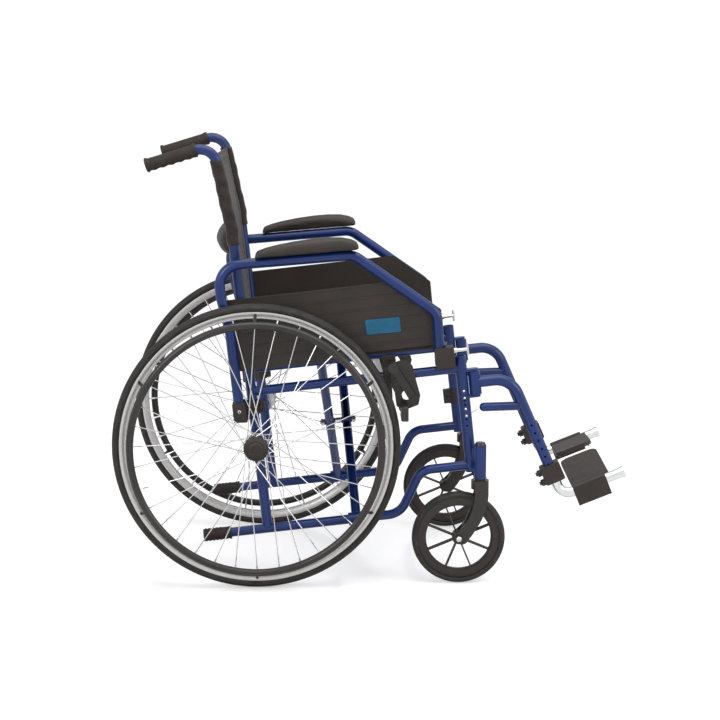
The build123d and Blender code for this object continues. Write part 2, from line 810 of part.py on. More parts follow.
    # Footplate: tread with ribs below, hinge barrel and a stop skirt outside
    plate_from = 27.0
    plate_to = 112.0
    barrel_to = 102.0
    plate_mid = (plate_from + plate_to) / 2
    tread_tilt = 6.0
    tread_rise = tan(radians(tread_tilt))
    tread_plane = Plane(
        origin=foot_line[1] + foot_way * plate_mid + foot_up * 6.5,
        x_dir=foot_way,
        z_dir=foot_up * cos(radians(tread_tilt)) + outward * sin(radians(tread_tilt)),
    )
    with BuildPart() as footplate:
        with BuildSketch(tread_plane) as tread:
            with Locations((0, side * (123.0 - leg_half))):
                Rectangle(plate_to - plate_from, 174.0)
            fillet(tread.vertices().group_by(Axis.Y)[0 if side > 0 else -1], radius=20.0)
        extrude(to_extrude=tread.sketch, amount=4.5, both=True)
        rod(
            foot_line[1] + foot_way * plate_from,
            foot_line[1] + foot_way * barrel_to,
            15.5,
        )
        skirt_plane = Plane(
            origin=foot_line[1] + foot_way * plate_from, x_dir=(0, 1, 0), z_dir=foot_way
        )
        with BuildSketch(skirt_plane) as skirt:
            with Locations((side * 14.0, -10.0)):
                Rectangle(5.0, 42.0)
            with Locations((side * 8.0, -14.5)):
                Rectangle(12.0, 5.0)
        extrude(to_extrude=skirt.sketch, amount=barrel_to - plate_from)
        for rib_x in (-34.0, -12.0, 12.0, 34.0):
            rib_plane = Plane(
                origin=foot_line[1] + foot_way * (plate_mid + rib_x) - Vector(0, y_leg, 0),
                x_dir=(0, 1, 0),
                z_dir=foot_way,
            )
            with BuildSketch(rib_plane) as rib:
                with BuildLine() as outline:
                    Polyline(
                        (side * 206.0, 3.0),
                        (side * 206.0, -9.0),
                        (side * 190.0, -9.0),
                        (side * 44.0, (leg_half - 44.0) * tread_rise - 1.0),
                        (side * 44.0, (leg_half - 44.0) * tread_rise + 3.0),
                        close=True,
                    )
                make_face()
            extrude(to_extrude=rib.sketch, amount=1.5, both=True)
        rod(
            foot_line[1] + foot_way * 20,
            foot_line[1] + foot_way * 120,
            r_foot + run_fit,
            Mode.SUBTRACT,
        )
    finish(footplate, f"{hand}_footplate")

    # Push-to-lock brake: mount plate, hand lever and the shoe in front of the tyre
    shoe_pivot = (308.0, 96.0)
    lever_pivot = (340.0, 60.0)
    knob = (305.0, 134.0)
    shoe = (318.5, 36.0)
    with BuildPart() as brake_mount:
        slab(
            side_plane(side * (frame_half + 14.9)),
            (
                (297.0, 92.0),
                (300.0, 118.0),
                (314.0, 140.0),
                (332.0, 143.0),
                (347.0, 128.0),
                (352.0, 92.0),
                (357.0, 62.0),
                (351.0, 42.0),
                (322.0, 34.0),
                (304.0, 44.0),
                (303.0, 74.0),
            ),
            3.0,
            round_r=4.0,
        )
        rod(at(318.5, y_frame, rail_seat), at(346, y_frame, rail_seat), 14.0)
        slab(
            side_plane(side * (frame_half + 8.0)),
            ((319.0, 98.0), (346.0, 98.0), (346.0, 118.0), (319.0, 118.0)),
            12.0,
        )
        rod(
            at(shoe_pivot[0], side * (frame_half + 13), shoe_pivot[1]),
            at(shoe_pivot[0], side * (frame_half + 22.6), shoe_pivot[1]),
            3.5,
        )
        rod(
            at(lever_pivot[0], side * (frame_half + 13), lever_pivot[1]),
            at(lever_pivot[0], side * (frame_half + 30.5), lever_pivot[1]),
            3.5,
        )
        rod(
            at(lever_pivot[0], side * (frame_half + 13), lever_pivot[1]),
            at(lever_pivot[0], side * (frame_half + 22.8), lever_pivot[1]),
            6.0,
        )
        rod(
            at(310, y_frame, rail_seat),
            at(350, y_frame, rail_seat),
            r_rail + seat_gap,
            Mode.SUBTRACT,
        )
        rod(
            at(328.0, side * (frame_half + 5), 66.0),
            at(328.0, side * (frame_half + 25), 66.0),
            10.5,
            Mode.SUBTRACT,
        )
    finish(brake_mount, f"{hand}_brake_mount")

    lever_y = side * (frame_half + 26.0)
    with BuildPart() as brake_lever:
        rod(
            at(lever_pivot[0], side * (frame_half + 23.3), lever_pivot[1]),
            at(lever_pivot[0], side * (frame_half + 28.7), lever_pivot[1]),
            9.0,
        )
        slab(
            side_plane(lever_y),
            ((332.0, 57.0), (347.5, 64.0), (324.0, 112.0), (312.0, 137.0), (298.0, 131.0)),
            5.0,
            round_r=2.0,
        )
        rod(
            at(knob[0], side * (frame_half + 23.5), knob[1]),
            at(knob[0], side * (frame_half + 62), knob[1]),
            9.5,
        )
        rod(
            at(knob[0], side * (frame_half + 54), knob[1]),
            at(knob[0], side * (frame_half + 62), knob[1]),
            11.0,
        )
        rod(
            at(lever_pivot[0], side * (frame_half + 20), lever_pivot[1]),
            at(lever_pivot[0], side * (frame_half + 32), lever_pivot[1]),
            3.5 + run_fit,
            Mode.SUBTRACT,
        )
    finish(brake_lever, f"{hand}_brake_lever")

    with BuildPart() as brake_shoe:
        slab(
            side_plane(side * (frame_half + 19.0)),
            ((300.5, 96.0), (304.0, 104.0), (313.0, 104.0), (315.5, 96.0), (321.0, 34.0), (309.0, 34.0)),
            4.6,
            round_r=2.5,
        )
        slab(
            side_plane(side * (frame_half + 48.0)),
            ((309.5, 22.0), (325.0, 20.0), (328.0, 48.0), (312.5, 50.0)),
            60.0,
            round_r=2.5,
        )
        rod(
            at(shoe_pivot[0], side * (frame_half + 10), shoe_pivot[1]),
            at(shoe_pivot[0], side * (frame_half + 30), shoe_pivot[1]),
            3.5 + run_fit,
            Mode.SUBTRACT,
        )
    finish(brake_shoe, f"{hand}_brake_shoe")

    # Saddle on the seat rail that carries the seat tube when the chair is open
    with BuildPart() as seat_saddle:
        with BuildSketch(cross_plane(298.0)) as saddle:
            with BuildLine() as outline:
                Polyline(
                    (y_frame - 13.0, 94.0),
                    (y_frame + 13.0, 94.0),
                    (y_frame + 13.0, 122.0),
                    (y_frame + 11.0, 130.0),
                    (y_frame + 13.5, 155.0),
                    (y_frame - 13.5, 155.0),
                    (y_frame - 11.0, 130.0),
                    (y_frame - 13.0, 122.0),
                    close=True,
                )
            make_face()
            fillet(saddle.vertices(), radius=2.0)
        extrude(to_extrude=saddle.sketch, amount=15.0, both=True)
        rod(
            at(280, y_frame, rail_seat),
            at(320, y_frame, rail_seat),
            r_rail + seat_gap,
            Mode.SUBTRACT,
        )
        rod(
            at(280, y_frame, sling_height),
            at(320, y_frame, sling_height),
            r_rail + 0.3,
            Mode.SUBTRACT,
        )
    finish(seat_saddle, f"{hand}_seat_saddle")

# Two-lobed clip on the left front post
with BuildPart() as post_clip:
    rod(at(axle_to_post, frame_half, -48), at(axle_to_post, frame_half, -14), r_post + 3.0)
    for lobe_z in (-39.5, -22.5):
        with BuildSketch(plan_plane(lobe_z, axle_to_post - 18.0, frame_half)) as lobe:
            RectangleRounded(20.0, 20.0, 3.0)
        extrude(to_extrude=lobe.sketch, amount=7.5, both=True)
    rod(
        at(axle_to_post, frame_half, -60),
        at(axle_to_post, frame_half, 0),
        r_post + seat_gap,
        Mode.SUBTRACT,
    )
    slab(
        side_plane(frame_half),
        ((452.0, -50.0), (470.0, -50.0), (470.0, -10.0), (452.0, -10.0)),
        40.0,
        mode=Mode.SUBTRACT,
    )
finish(post_clip, "post_clip")

# Cross-brace arms: each has a sleeve on one lower rail and a seat tube at the other end
for label, arm_x, low_side in (("brace_a", brace_a_x, 1.0), ("brace_b", brace_b_x, -1.0)):
    low_y = low_side * frame_half
    top_y = -low_side * frame_half
    with BuildPart() as brace_arm:
        rod(at(arm_x, low_y, rail_low), at(arm_x, top_y, sling_height), r_brace)
        rod(at(18, top_y, sling_height), at(425, top_y, sling_height), r_rail)
        rod(
            at(arm_x, low_y * 0.97, rail_low + 0.03 * brace_rise),
            at(arm_x, top_y, sling_height),
            r_brace - wall,
            Mode.SUBTRACT,
        )
        rod(
            at(17, top_y, sling_height),
            at(426, top_y, sling_height),
            r_rail - wall,
            Mode.SUBTRACT,
        )
        rod(at(arm_x - 17, low_y, rail_low), at(arm_x + 17, low_y, rail_low), 13.8)
        rod(
            at(arm_x - 20, low_y, rail_low),
            at(arm_x + 20, low_y, rail_low),
            r_rail + run_fit,
            Mode.SUBTRACT,
        )
        rod(
            at(arm_x - 12.5, 0, (rail_low + sling_height) / 2),
            at(arm_x + 12.5, 0, (rail_low + sling_height) / 2),
            7.0,
        )
        rod(
            at(arm_x - 15, 0, (rail_low + sling_height) / 2),
            at(arm_x + 15, 0, (rail_low + sling_height) / 2),
            4.0 + run_fit,
            Mode.SUBTRACT,
        )
    finish(brace_arm, label)

# Bolt through the middle of the brace, with a head, a nut and a spacer
brace_mid = (rail_low + sling_height) / 2
with BuildPart() as brace_bolt:
    rod(at(132, 0, brace_mid), at(213, 0, brace_mid), 4.0)
    for start, length, radius in ((brace_a_x - 19.5, 6.5, 8.0), (brace_b_x + 13.0, 6.5, 8.0)):
        with BuildSketch(cross_plane(start, 0, brace_mid)) as head:
            RegularPolygon(radius, 6)
        extrude(to_extrude=head.sketch, amount=length)
    rod(
        at(brace_a_x + 13.0, 0, brace_mid),
        at(brace_b_x - 13.0, 0, brace_mid),
        6.5,
    )
finish(brace_bolt, "brace_bolt")

# Seat sling: a sheet that wraps over both seat tubes
with BuildPart() as seat_sling:
    with BuildSketch(cross_plane(224.0)) as sheet:
        with Locations((0, sling_height + 11.4)):
            Rectangle(2 * frame_half, 2.2)
        for tube_y in (-frame_half, frame_half):
            with Locations((tube_y, sling_height)):
                Circle(12.5)
        with Locations((0, sling_height - 20.0)):
            Rectangle(3 * frame_half, 40.0, mode=Mode.SUBTRACT)
        with Locations((0, sling_height)):
            Rectangle(2 * frame_half - 12.0, 14.0, mode=Mode.SUBTRACT)
        for tube_y in (-frame_half, frame_half):
            with Locations((tube_y, sling_height)):
                Circle(r_rail + 0.3, mode=Mode.SUBTRACT)
    extrude(to_extrude=sheet.sketch, amount=188.0, both=True)
finish(seat_sling, "seat_sling")

# Back sling: sleeves over both canes, a sheet between them and a pocket behind
sleeve_top_x = cane_corner[0] * (sling_top - cane_bend[1]) / (cane_corner[1] - cane_bend[1])
back_line = (
    at(0, 0, sling_bottom),
    at(cane_bend[0], 0, cane_bend[1]),
    at(sleeve_top_x, 0, sling_top),
)
sleeve_line = (at(0, 0, sleeve_bottom),) + back_line[1:]
with BuildPart() as back_sling:
    with BuildLine() as spine:
        bent_line(back_line, (60.0,))
    with BuildSketch(plan_plane(sling_bottom)) as sheet:
        Rectangle(2.6, 2 * (frame_half - r_upright - 1.0))
    sweep(sections=sheet.sketch, path=spine.line)
    with BuildLine() as sleeve_spine:
        bent_line(sleeve_line, (60.0,))
    with BuildSketch(plan_plane(sleeve_bottom)) as sleeves:
        for cane_y in (-frame_half, frame_half):
            with Locations((0, cane_y)):
                Circle(13.6)
                Circle(r_upright + 0.5, mode=Mode.SUBTRACT)
    sweep(sections=sleeves.sketch, path=sleeve_spine.line)
    slab(
        side_plane(0),
        ((-0.5, 452.0), (-0.5, 395.0), (-22.0, 393.0), (-26.0, 415.0), (-20.0, 452.0)),
        300.0,
        round_r=0.0,
    )
finish(back_sling, "back_sling")
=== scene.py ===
"""Looks of a folding transport wheelchair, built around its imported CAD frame.

Laid out as a Blender add-on and run as a script. Lengths are in metres unless a
setting's unit says otherwise. Materials are procedural and read object coordinates.
"""

import functools
import json
import math

import bmesh
import bpy
from mathutils import Matrix, Vector


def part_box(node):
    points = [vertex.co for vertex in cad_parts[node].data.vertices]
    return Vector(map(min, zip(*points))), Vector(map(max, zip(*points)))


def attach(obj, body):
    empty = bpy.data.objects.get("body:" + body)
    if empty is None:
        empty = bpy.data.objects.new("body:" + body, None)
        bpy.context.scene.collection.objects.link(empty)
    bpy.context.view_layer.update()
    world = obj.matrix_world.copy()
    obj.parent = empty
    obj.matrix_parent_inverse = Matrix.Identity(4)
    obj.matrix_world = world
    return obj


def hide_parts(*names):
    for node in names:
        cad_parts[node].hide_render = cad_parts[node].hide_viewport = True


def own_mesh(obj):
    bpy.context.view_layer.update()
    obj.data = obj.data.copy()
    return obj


bl_info = {
    "name": "Transport wheelchair",
    "version": (1, 0, 0),
    "blender": (4, 5, 0),
    "location": "View3D > Sidebar > Wheelchair",
    "description": "Builds the painted frame, wheels, slings and pads of a folding wheelchair",
    "category": "Add Mesh",
}

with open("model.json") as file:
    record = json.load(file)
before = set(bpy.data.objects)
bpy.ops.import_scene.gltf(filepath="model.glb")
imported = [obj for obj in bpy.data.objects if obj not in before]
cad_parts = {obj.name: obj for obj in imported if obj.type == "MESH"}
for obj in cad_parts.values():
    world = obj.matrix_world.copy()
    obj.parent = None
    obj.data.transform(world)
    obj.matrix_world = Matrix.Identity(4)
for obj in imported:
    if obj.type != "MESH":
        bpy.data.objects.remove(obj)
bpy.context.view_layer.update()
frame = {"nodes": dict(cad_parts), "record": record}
record = frame["record"]
nodes = frame["nodes"]

HANDS = (("right", -1.0), ("left", 1.0))
FRAME_HALF = 0.217
WHEEL_HALF = 0.279
LEAN = math.radians(6.3)
AXLE = Vector((0.5 * (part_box("right_tyre")[0].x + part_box("right_tyre")[1].x), 0.0, 0.305))


def at(x, y, z):
    """A point given along the leaning side frame: forwards, to the left and up, from the axle."""
    return Vector(
        (
            AXLE.x + x * math.cos(LEAN) - z * math.sin(LEAN),
            y,
            AXLE.z + x * math.sin(LEAN) + z * math.cos(LEAN),
        )
    )


FORWARDS = at(1, 0, 0) - at(0, 0, 0)
UPWARDS = at(0, 0, 1) - at(0, 0, 0)


# Settings


def colour_setting(name, description, default):
    return bpy.props.FloatVectorProperty(
        name=name,
        description=description,
        subtype="COLOR",
        size=3,
        min=0.0,
        max=1.0,
        default=default,
    )


def length_setting(name, description, default, low, high):
    return bpy.props.FloatProperty(
        name=name, description=description, unit="LENGTH", default=default, min=low, max=high
    )


class FinishSettings(bpy.types.PropertyGroup):
    paint: colour_setting("Paint", "Colour of the painted tubes", (0.004, 0.022, 0.125))
    plastic: colour_setting(
        "Plastic", "Colour of the moulded plastic parts", (0.020, 0.014, 0.011)
    )
    cloth: colour_setting("Cloth", "Colour of the seat and back slings", (0.021, 0.014, 0.012))
    plate: colour_setting(
        "Plate", "Colour of the bare plate on the skirt guard", (0.0, 0.095, 0.19)
    )


class WheelSettings(bpy.types.PropertyGroup):
    spokes: bpy.props.IntProperty(
        name="Spokes", description="Spokes in one rear wheel", default=36, min=8, max=72
    )
    spoke_size: length_setting("Spoke", "Diameter of a spoke", 0.0022, 0.0005, 0.01)
    handrim_radius: length_setting(
        "Handrim", "Radius of the handrim ring's centre line", 0.264, 0.1, 0.29
    )


class ClothSettings(bpy.types.PropertyGroup):
    thickness: length_setting("Thickness", "Thickness of the slings' cloth", 0.002, 0.0005, 0.01)
    seat_sag: length_setting(
        "Seat sag", "How far the seat sling hangs in its middle", 0.012, 0.0, 0.05
    )
    stitch: length_setting("Stitch", "Length of one stitch", 0.0035, 0.001, 0.02)


# Materials


def shader(name, **sockets):
    """A new material and its Principled shader, with constants set on the shader's sockets."""
    material = bpy.data.materials.new(name)
    material.use_nodes = True
    tree = material.node_tree
    surface = tree.nodes["Principled BSDF"]
    for socket, value in sockets.items():
        surface.inputs[socket.replace("_", " ")].default_value = value
    return material, tree, surface


def link(tree, start, out, end, socket):
    tree.links.new(start.outputs[out], end.inputs[socket])


def object_coordinates(tree, scale=(1, 1, 1)):
    coordinates = tree.nodes.new("ShaderNodeTexCoord")
    mapping = tree.nodes.new("ShaderNodeMapping")
    mapping.inputs["Scale"].default_value = scale
    link(tree, coordinates, "Object", mapping, "Vector")
    return mapping


def noise(tree, mapping, scale, detail=4.0, roughness=0.55):
    texture = tree.nodes.new("ShaderNodeTexNoise")
    texture.inputs["Scale"].default_value = scale
    texture.inputs["Detail"].default_value = detail
    texture.inputs["Roughness"].default_value = roughness
    link(tree, mapping, "Vector", texture, "Vector")
    return texture


def mottled_colour(tree, surface, texture, colour, other, low=0.35, high=0.65):
    ramp = tree.nodes.new("ShaderNodeValToRGB")
    ramp.color_ramp.elements[0].position = low
    ramp.color_ramp.elements[1].position = high
    ramp.color_ramp.elements[0].color = (*colour, 1)
    ramp.color_ramp.elements[1].color = (*other, 1)
    link(tree, texture, "Fac", ramp, "Fac")
    link(tree, ramp, "Color", surface, "Base Color")
    return ramp


def varied_roughness(tree, surface, texture, low, high, out="Fac"):
    spread = tree.nodes.new("ShaderNodeMapRange")
    spread.inputs["To Min"].default_value = low
    spread.inputs["To Max"].default_value = high
    link(tree, texture, out, spread, "Value")
    link(tree, spread, "Result", surface, "Roughness")


def raised(tree, surface, source, out, strength, depth, under=None):
    bump = tree.nodes.new("ShaderNodeBump")
    bump.inputs["Strength"].default_value = strength
    bump.inputs["Distance"].default_value = depth
    link(tree, source, out, bump, "Height")
    if under:
        link(tree, under, "Normal", bump, "Normal")
    link(tree, bump, "Normal", surface, "Normal")
    return bump


def scaled(colour, factor):
    return tuple(min(1.0, part * factor) for part in colour)


def painted(name, colour):
    """Glossy enamel: a hint of orange peel, slight clouding and dull rubbed spots."""
    material, tree, surface = shader(
        name, Metallic=0.0, Coat_Weight=0.3, Coat_Roughness=0.08, Specular_IOR_Level=0.3
    )
    mapping = object_coordinates(tree)
    clouds = noise(tree, mapping, 9.0)
    mottled_colour(tree, surface, clouds, scaled(colour, 0.85), scaled(colour, 1.25))
    varied_roughness(tree, surface, noise(tree, mapping, 30.0), 0.22, 0.38)
    raised(tree, surface, noise(tree, mapping, 700.0, 2.0), "Fac", 0.06, 0.0004)
    return material


def moulded(name, colour, rough=(0.42, 0.6), grain=1400.0, depth=0.00025):
    """Moulded plastic with a fine leather-like grain."""
    material, tree, surface = shader(name, Specular_IOR_Level=0.45)
    mapping = object_coordinates(tree)
    mottled_colour(
        tree, surface, noise(tree, mapping, 14.0), scaled(colour, 0.8), scaled(colour, 1.3)
    )
    varied_roughness(tree, surface, noise(tree, mapping, 60.0), *rough)
    cells = tree.nodes.new("ShaderNodeTexVoronoi")
    cells.feature = "SMOOTH_F1"
    cells.inputs["Scale"].default_value = grain
    link(tree, mapping, "Vector", cells, "Vector")
    raised(tree, surface, cells, "Distance", 0.25, depth)
    return material


def rubber(name, colour, rough=(0.55, 0.75)):
    """Dull rubber with a dusty bloom and a fine pebbled skin."""
    material, tree, surface = shader(name, Specular_IOR_Level=0.35)
    mapping = object_coordinates(tree)
    mottled_colour(
        tree, surface, noise(tree, mapping, 40.0, 6.0), scaled(colour, 0.8), scaled(colour, 1.5)
    )
    varied_roughness(tree, surface, noise(tree, mapping, 90.0), *rough)
    raised(tree, surface, noise(tree, mapping, 1800.0, 2.0), "Fac", 0.3, 0.0003)
    return material


def bright_metal(name, colour, rough, stretch=(1, 1, 1), polish=220.0):
    """Bare metal with drawn or turned marks along one direction."""
    material, tree, surface = shader(name, Metallic=1.0)
    mapping = object_coordinates(tree, stretch)
    marks = noise(tree, mapping, polish, 3.0)
    mottled_colour(tree, surface, marks, scaled(colour, 0.88), colour)
    varied_roughness(tree, surface, marks, *rough)
    raised(tree, surface, marks, "Fac", 0.05, 0.0001)
    return material


def woven(name, colour):
    """Coated nylon: a plain weave of half-millimetre yarns, with a soft sheen."""
    material, tree, surface = shader(name, Sheen_Weight=0.25, Sheen_Roughness=0.4)
    surface.inputs["Specular IOR Level"].default_value = 0.3
    mapping = object_coordinates(tree)
    mottled_colour(
        tree, surface, noise(tree, mapping, 22.0, 5.0), scaled(colour, 0.75), scaled(colour, 1.35)
    )
    yarns = []
    for direction, turned in (("X", 0.0), ("Y", 0.0), ("Z", 0.0)):
        wave = tree.nodes.new("ShaderNodeTexWave")
        wave.bands_direction = direction
        wave.inputs["Scale"].default_value = 320.0
        wave.inputs["Distortion"].default_value = 0.4
        link(tree, mapping, "Vector", wave, "Vector")
        yarns.append(wave)
    first = tree.nodes.new("ShaderNodeMath")
    first.operation = "MULTIPLY"
    link(tree, yarns[0], "Fac", first, 0)
    link(tree, yarns[1], "Fac", first, 1)
    both = tree.nodes.new("ShaderNodeMath")
    both.operation = "MAXIMUM"
    link(tree, first, "Value", both, 0)
    second = tree.nodes.new("ShaderNodeMath")
    second.operation = "MULTIPLY"
    link(tree, yarns[1], "Fac", second, 0)
    link(tree, yarns[2], "Fac", second, 1)
    link(tree, second, "Value", both, 1)
    weave = raised(tree, surface, both, "Value", 0.5, 0.0003)
    raised(tree, surface, noise(tree, mapping, 18.0, 3.0), "Fac", 0.15, 0.004, weave)
    varied_roughness(tree, surface, both, 0.62, 0.8, "Value")
    return material


FINISHES = {}

# CAD nodes that pieces of their own stand for
DRESSED = set()


class WHEELCHAIR_OT_finishes(bpy.types.Operator):
    """Make every paint, plastic, rubber, metal and cloth finish"""

    bl_idname = "wheelchair.finishes"
    bl_label = "Finishes"

    def execute(self, context):
        colours = context.scene.wheelchair_finish
        plastic = tuple(colours.plastic)
        FINISHES.update(
            frame_paint=painted("frame enamel", tuple(colours.paint)),
            dark_plastic=moulded("moulded plastic", plastic),
            cloth=woven("coated nylon", tuple(colours.cloth)),
            soft_rubber=rubber("grip rubber", scaled(plastic, 0.9)),
            tread=rubber("tyre rubber", (0.020, 0.018, 0.017)),
            rim_grey=bright_metal("rim alloy", (0.62, 0.61, 0.60), (0.32, 0.45)),
            bright_steel=bright_metal("spoke steel", (0.72, 0.72, 0.73), (0.18, 0.3)),
            chrome_tube=bright_metal("chromed tube", (0.80, 0.80, 0.81), (0.06, 0.14)),
            dark_metal=painted("dark enamel", (0.022, 0.018, 0.016)),
            plate=moulded("bare plate", tuple(colours.plate), (0.25, 0.35), 300.0, 0.00005),
            thread=moulded("sewing thread", scaled(plastic, 2.2), (0.6, 0.8)),
            pad=moulded("pad skin", plastic, (0.45, 0.58), 900.0, 0.0003),
        )
        slots = {part["node"]: part["material_slot"] for part in record["subparts"]}
        for node, piece in nodes.items():
            piece.data.materials.clear()
            piece.data.materials.append(FINISHES[slots[node]])
        return {"FINISHED"}


# Meshes


def plain(obj):
    """Turns an object with modifiers into a plain mesh at the origin."""
    graph = bpy.context.evaluated_depsgraph_get()
    mesh = bpy.data.meshes.new_from_object(obj.evaluated_get(graph), depsgraph=graph)
    obj.modifiers.clear()
    obj.data = mesh
    return obj


def added(name, mesh, finish):
    piece = bpy.data.objects.new(name, mesh)
    bpy.context.scene.collection.objects.link(piece)
    piece.data.materials.clear()
    piece.data.materials.append(FINISHES[finish])
    return piece


def rounded_copy(node):
    """A copy of a CAD node, merged and smooth-shaded except at its sharp edges."""
    shape = bmesh.new()
    shape.from_mesh(nodes[node].data)
    bmesh.ops.remove_doubles(shape, verts=shape.verts, dist=0.000004)
    for face in shape.faces:
        face.smooth = True
    for edge in shape.edges:
        if len(edge.link_faces) != 2 or edge.calc_face_angle(3.0) > math.radians(32):
            edge.smooth = False
    mesh = bpy.data.meshes.new(node + "_shell")
    shape.to_mesh(mesh)
    shape.free()
    return mesh


def settled(shape, name, finish, sharp=34.0):
    """Turns a bmesh into a piece: merged, facing outwards and smooth except at sharp edges."""
    bmesh.ops.remove_doubles(shape, verts=shape.verts, dist=0.000004)
    bmesh.ops.recalc_face_normals(shape, faces=shape.faces)
    for face in shape.faces:
        face.smooth = True
    for edge in shape.edges:
        if len(edge.link_faces) == 2 and edge.calc_face_angle(3.0) > math.radians(sharp):
            edge.smooth = False
    mesh = bpy.data.meshes.new(name)
    shape.to_mesh(mesh)
    shape.free()
    return added(name, mesh, finish)


def turned(shape, profile, centre, axis, segments=96, closed=True):
    """Adds a turned form to a bmesh: profile holds (radius, along the axis) pairs."""
    axis = Vector(axis).normalized()
    first = axis.orthogonal().normalized()
    second = axis.cross(first)
    rings = []
    for number in range(segments):
        turn = 2 * math.pi * number / segments
        ray = first * math.cos(turn) + second * math.sin(turn)
        rings.append(
            [shape.verts.new(Vector(centre) + axis * along + ray * r) for r, along in profile]
        )
    count = len(profile)
    for number in range(segments):
        ring, following = rings[number], rings[(number + 1) % segments]
        for step in range(count if closed else count - 1):
            onward = (step + 1) % count
            if profile[step][0] < 1e-6 and profile[onward][0] < 1e-6:
                continue
            corners = [ring[step], ring[onward], following[onward], following[step]]
            if profile[step][0] < 1e-6:
                corners = corners[:3]
            elif profile[onward][0] < 1e-6:
                corners = [ring[step], ring[onward], following[step]]
            shape.faces.new(corners)


def arc(centre, radius, start, end, steps):
    """Points of an arc as (radius, along) pairs, angles in degrees."""
    points = []
    for step in range(steps + 1):
        turn = math.radians(start + (end - start) * step / steps)
        points.append((centre[0] + radius * math.cos(turn), centre[1] + radius * math.sin(turn)))
    return points


def skin(shape, rings):
    """Adds faces between closed rings of points and over both ends."""
    count = len(rings[0])
    for ring, following in zip(rings, rings[1:]):
        for number in range(count):
            onward = (number + 1) % count
            shape.faces.new((ring[number], ring[onward], following[onward], following[number]))
    shape.faces.new(rings[0])
    shape.faces.new(rings[-1])


def tube(shape, points, radius, sides=20):
    """Adds a round tube along points to a bmesh, closed at both ends."""
    points = [Vector(point) for point in points]
    rings = []
    normal = (points[1] - points[0]).orthogonal().normalized()
    for number, point in enumerate(points):
        before = points[max(number - 1, 0)]
        after = points[min(number + 1, len(points) - 1)]
        way = (after - before).normalized()
        normal = (normal - way * normal.dot(way)).normalized()
        across = way.cross(normal)
        rings.append(
            [
                shape.verts.new(
                    point
                    + normal * radius * math.cos(2 * math.pi * side / sides)
                    + across * radius * math.sin(2 * math.pi * side / sides)
                )
                for side in range(sides)
            ]
        )
    skin(shape, rings)


# Geometry Nodes


class Tree:
    """A Geometry Nodes tree with named inputs, ending in Realize Instances and Set Material."""

    def __init__(self, name, inputs):
        self.group = bpy.data.node_groups.new(name, "GeometryNodeTree")
        face = self.group.interface
        face.new_socket("Geometry", in_out="OUTPUT", socket_type="NodeSocketGeometry")
        for title, kind in inputs + (("Finish", "Material"),):
            face.new_socket(title, in_out="INPUT", socket_type="NodeSocket" + kind)
        self.entry = self.node("NodeGroupInput")

    def node(self, kind, **settings):
        made = self.group.nodes.new(kind)
        for key, value in settings.items():
            setattr(made, key, value)
        return made

    def join(self, source, target):
        self.group.links.new(source, target)

    def given(self, title):
        return self.entry.outputs[title]

    def math(self, operation, first, second=None):
        made = self.node("ShaderNodeMath", operation=operation)
        for socket, value in zip(made.inputs, (first, second)):
            if isinstance(value, (int, float)):
                socket.default_value = value
            elif value is not None:
                self.join(value, socket)
        return made.outputs[0]

    def point(self, x, y, z):
        made = self.node("ShaderNodeCombineXYZ")
        for socket, value in zip(made.inputs, (x, y, z)):
            if isinstance(value, (int, float)):
                socket.default_value = value
            else:
                self.join(value, socket)
        return made.outputs[0]

    def end(self, source):
        real = self.node("GeometryNodeRealizeInstances")
        coat = self.node("GeometryNodeSetMaterial")
        out = self.node("NodeGroupOutput")
        self.join(source, real.inputs[0])
        self.join(real.outputs[0], coat.inputs["Geometry"])
        self.join(self.given("Finish"), coat.inputs["Material"])
        self.join(coat.outputs[0], out.inputs[0])

    def grown(self, name, finish, **values):
        """A plain mesh piece made by the tree with these input values."""
        piece = added(name, bpy.data.meshes.new(name), finish)
        maker = piece.modifiers.new("maker", "NODES")
        maker.node_group = self.group
        values["Finish"] = FINISHES[finish]
        for item in self.group.interface.items_tree:
            if item.in_out == "INPUT" and item.name.replace(" ", "_") in values:
                maker[item.identifier] = values[item.name.replace(" ", "_")]
        plain(piece)
        return piece


@functools.cache
def row_tree():
    """Copies of one part at even steps along a line, all facing one way."""
    tree = Tree(
        "Parts in a row",
        (
            ("Part", "Object"),
            ("Count", "Int"),
            ("Start", "Vector"),
            ("Step", "Vector"),
            ("Facing", "Vector"),
            ("Size", "Float"),
        ),
    )
    line = tree.node("GeometryNodeMeshLine", mode="OFFSET")
    tree.join(tree.given("Count"), line.inputs["Count"])
    tree.join(tree.given("Start"), line.inputs["Start Location"])
    tree.join(tree.given("Step"), line.inputs["Offset"])
    part = tree.node("GeometryNodeObjectInfo")
    tree.join(tree.given("Part"), part.inputs["Object"])
    facing = tree.node("FunctionNodeAlignRotationToVector", axis="Z")
    tree.join(tree.given("Facing"), facing.inputs["Vector"])
    copies = tree.node("GeometryNodeInstanceOnPoints")
    tree.join(line.outputs[0], copies.inputs["Points"])
    tree.join(part.outputs["Geometry"], copies.inputs["Instance"])
    tree.join(facing.outputs[0], copies.inputs["Rotation"])
    tree.join(tree.given("Size"), copies.inputs["Scale"])
    tree.end(copies.outputs[0])
    return tree


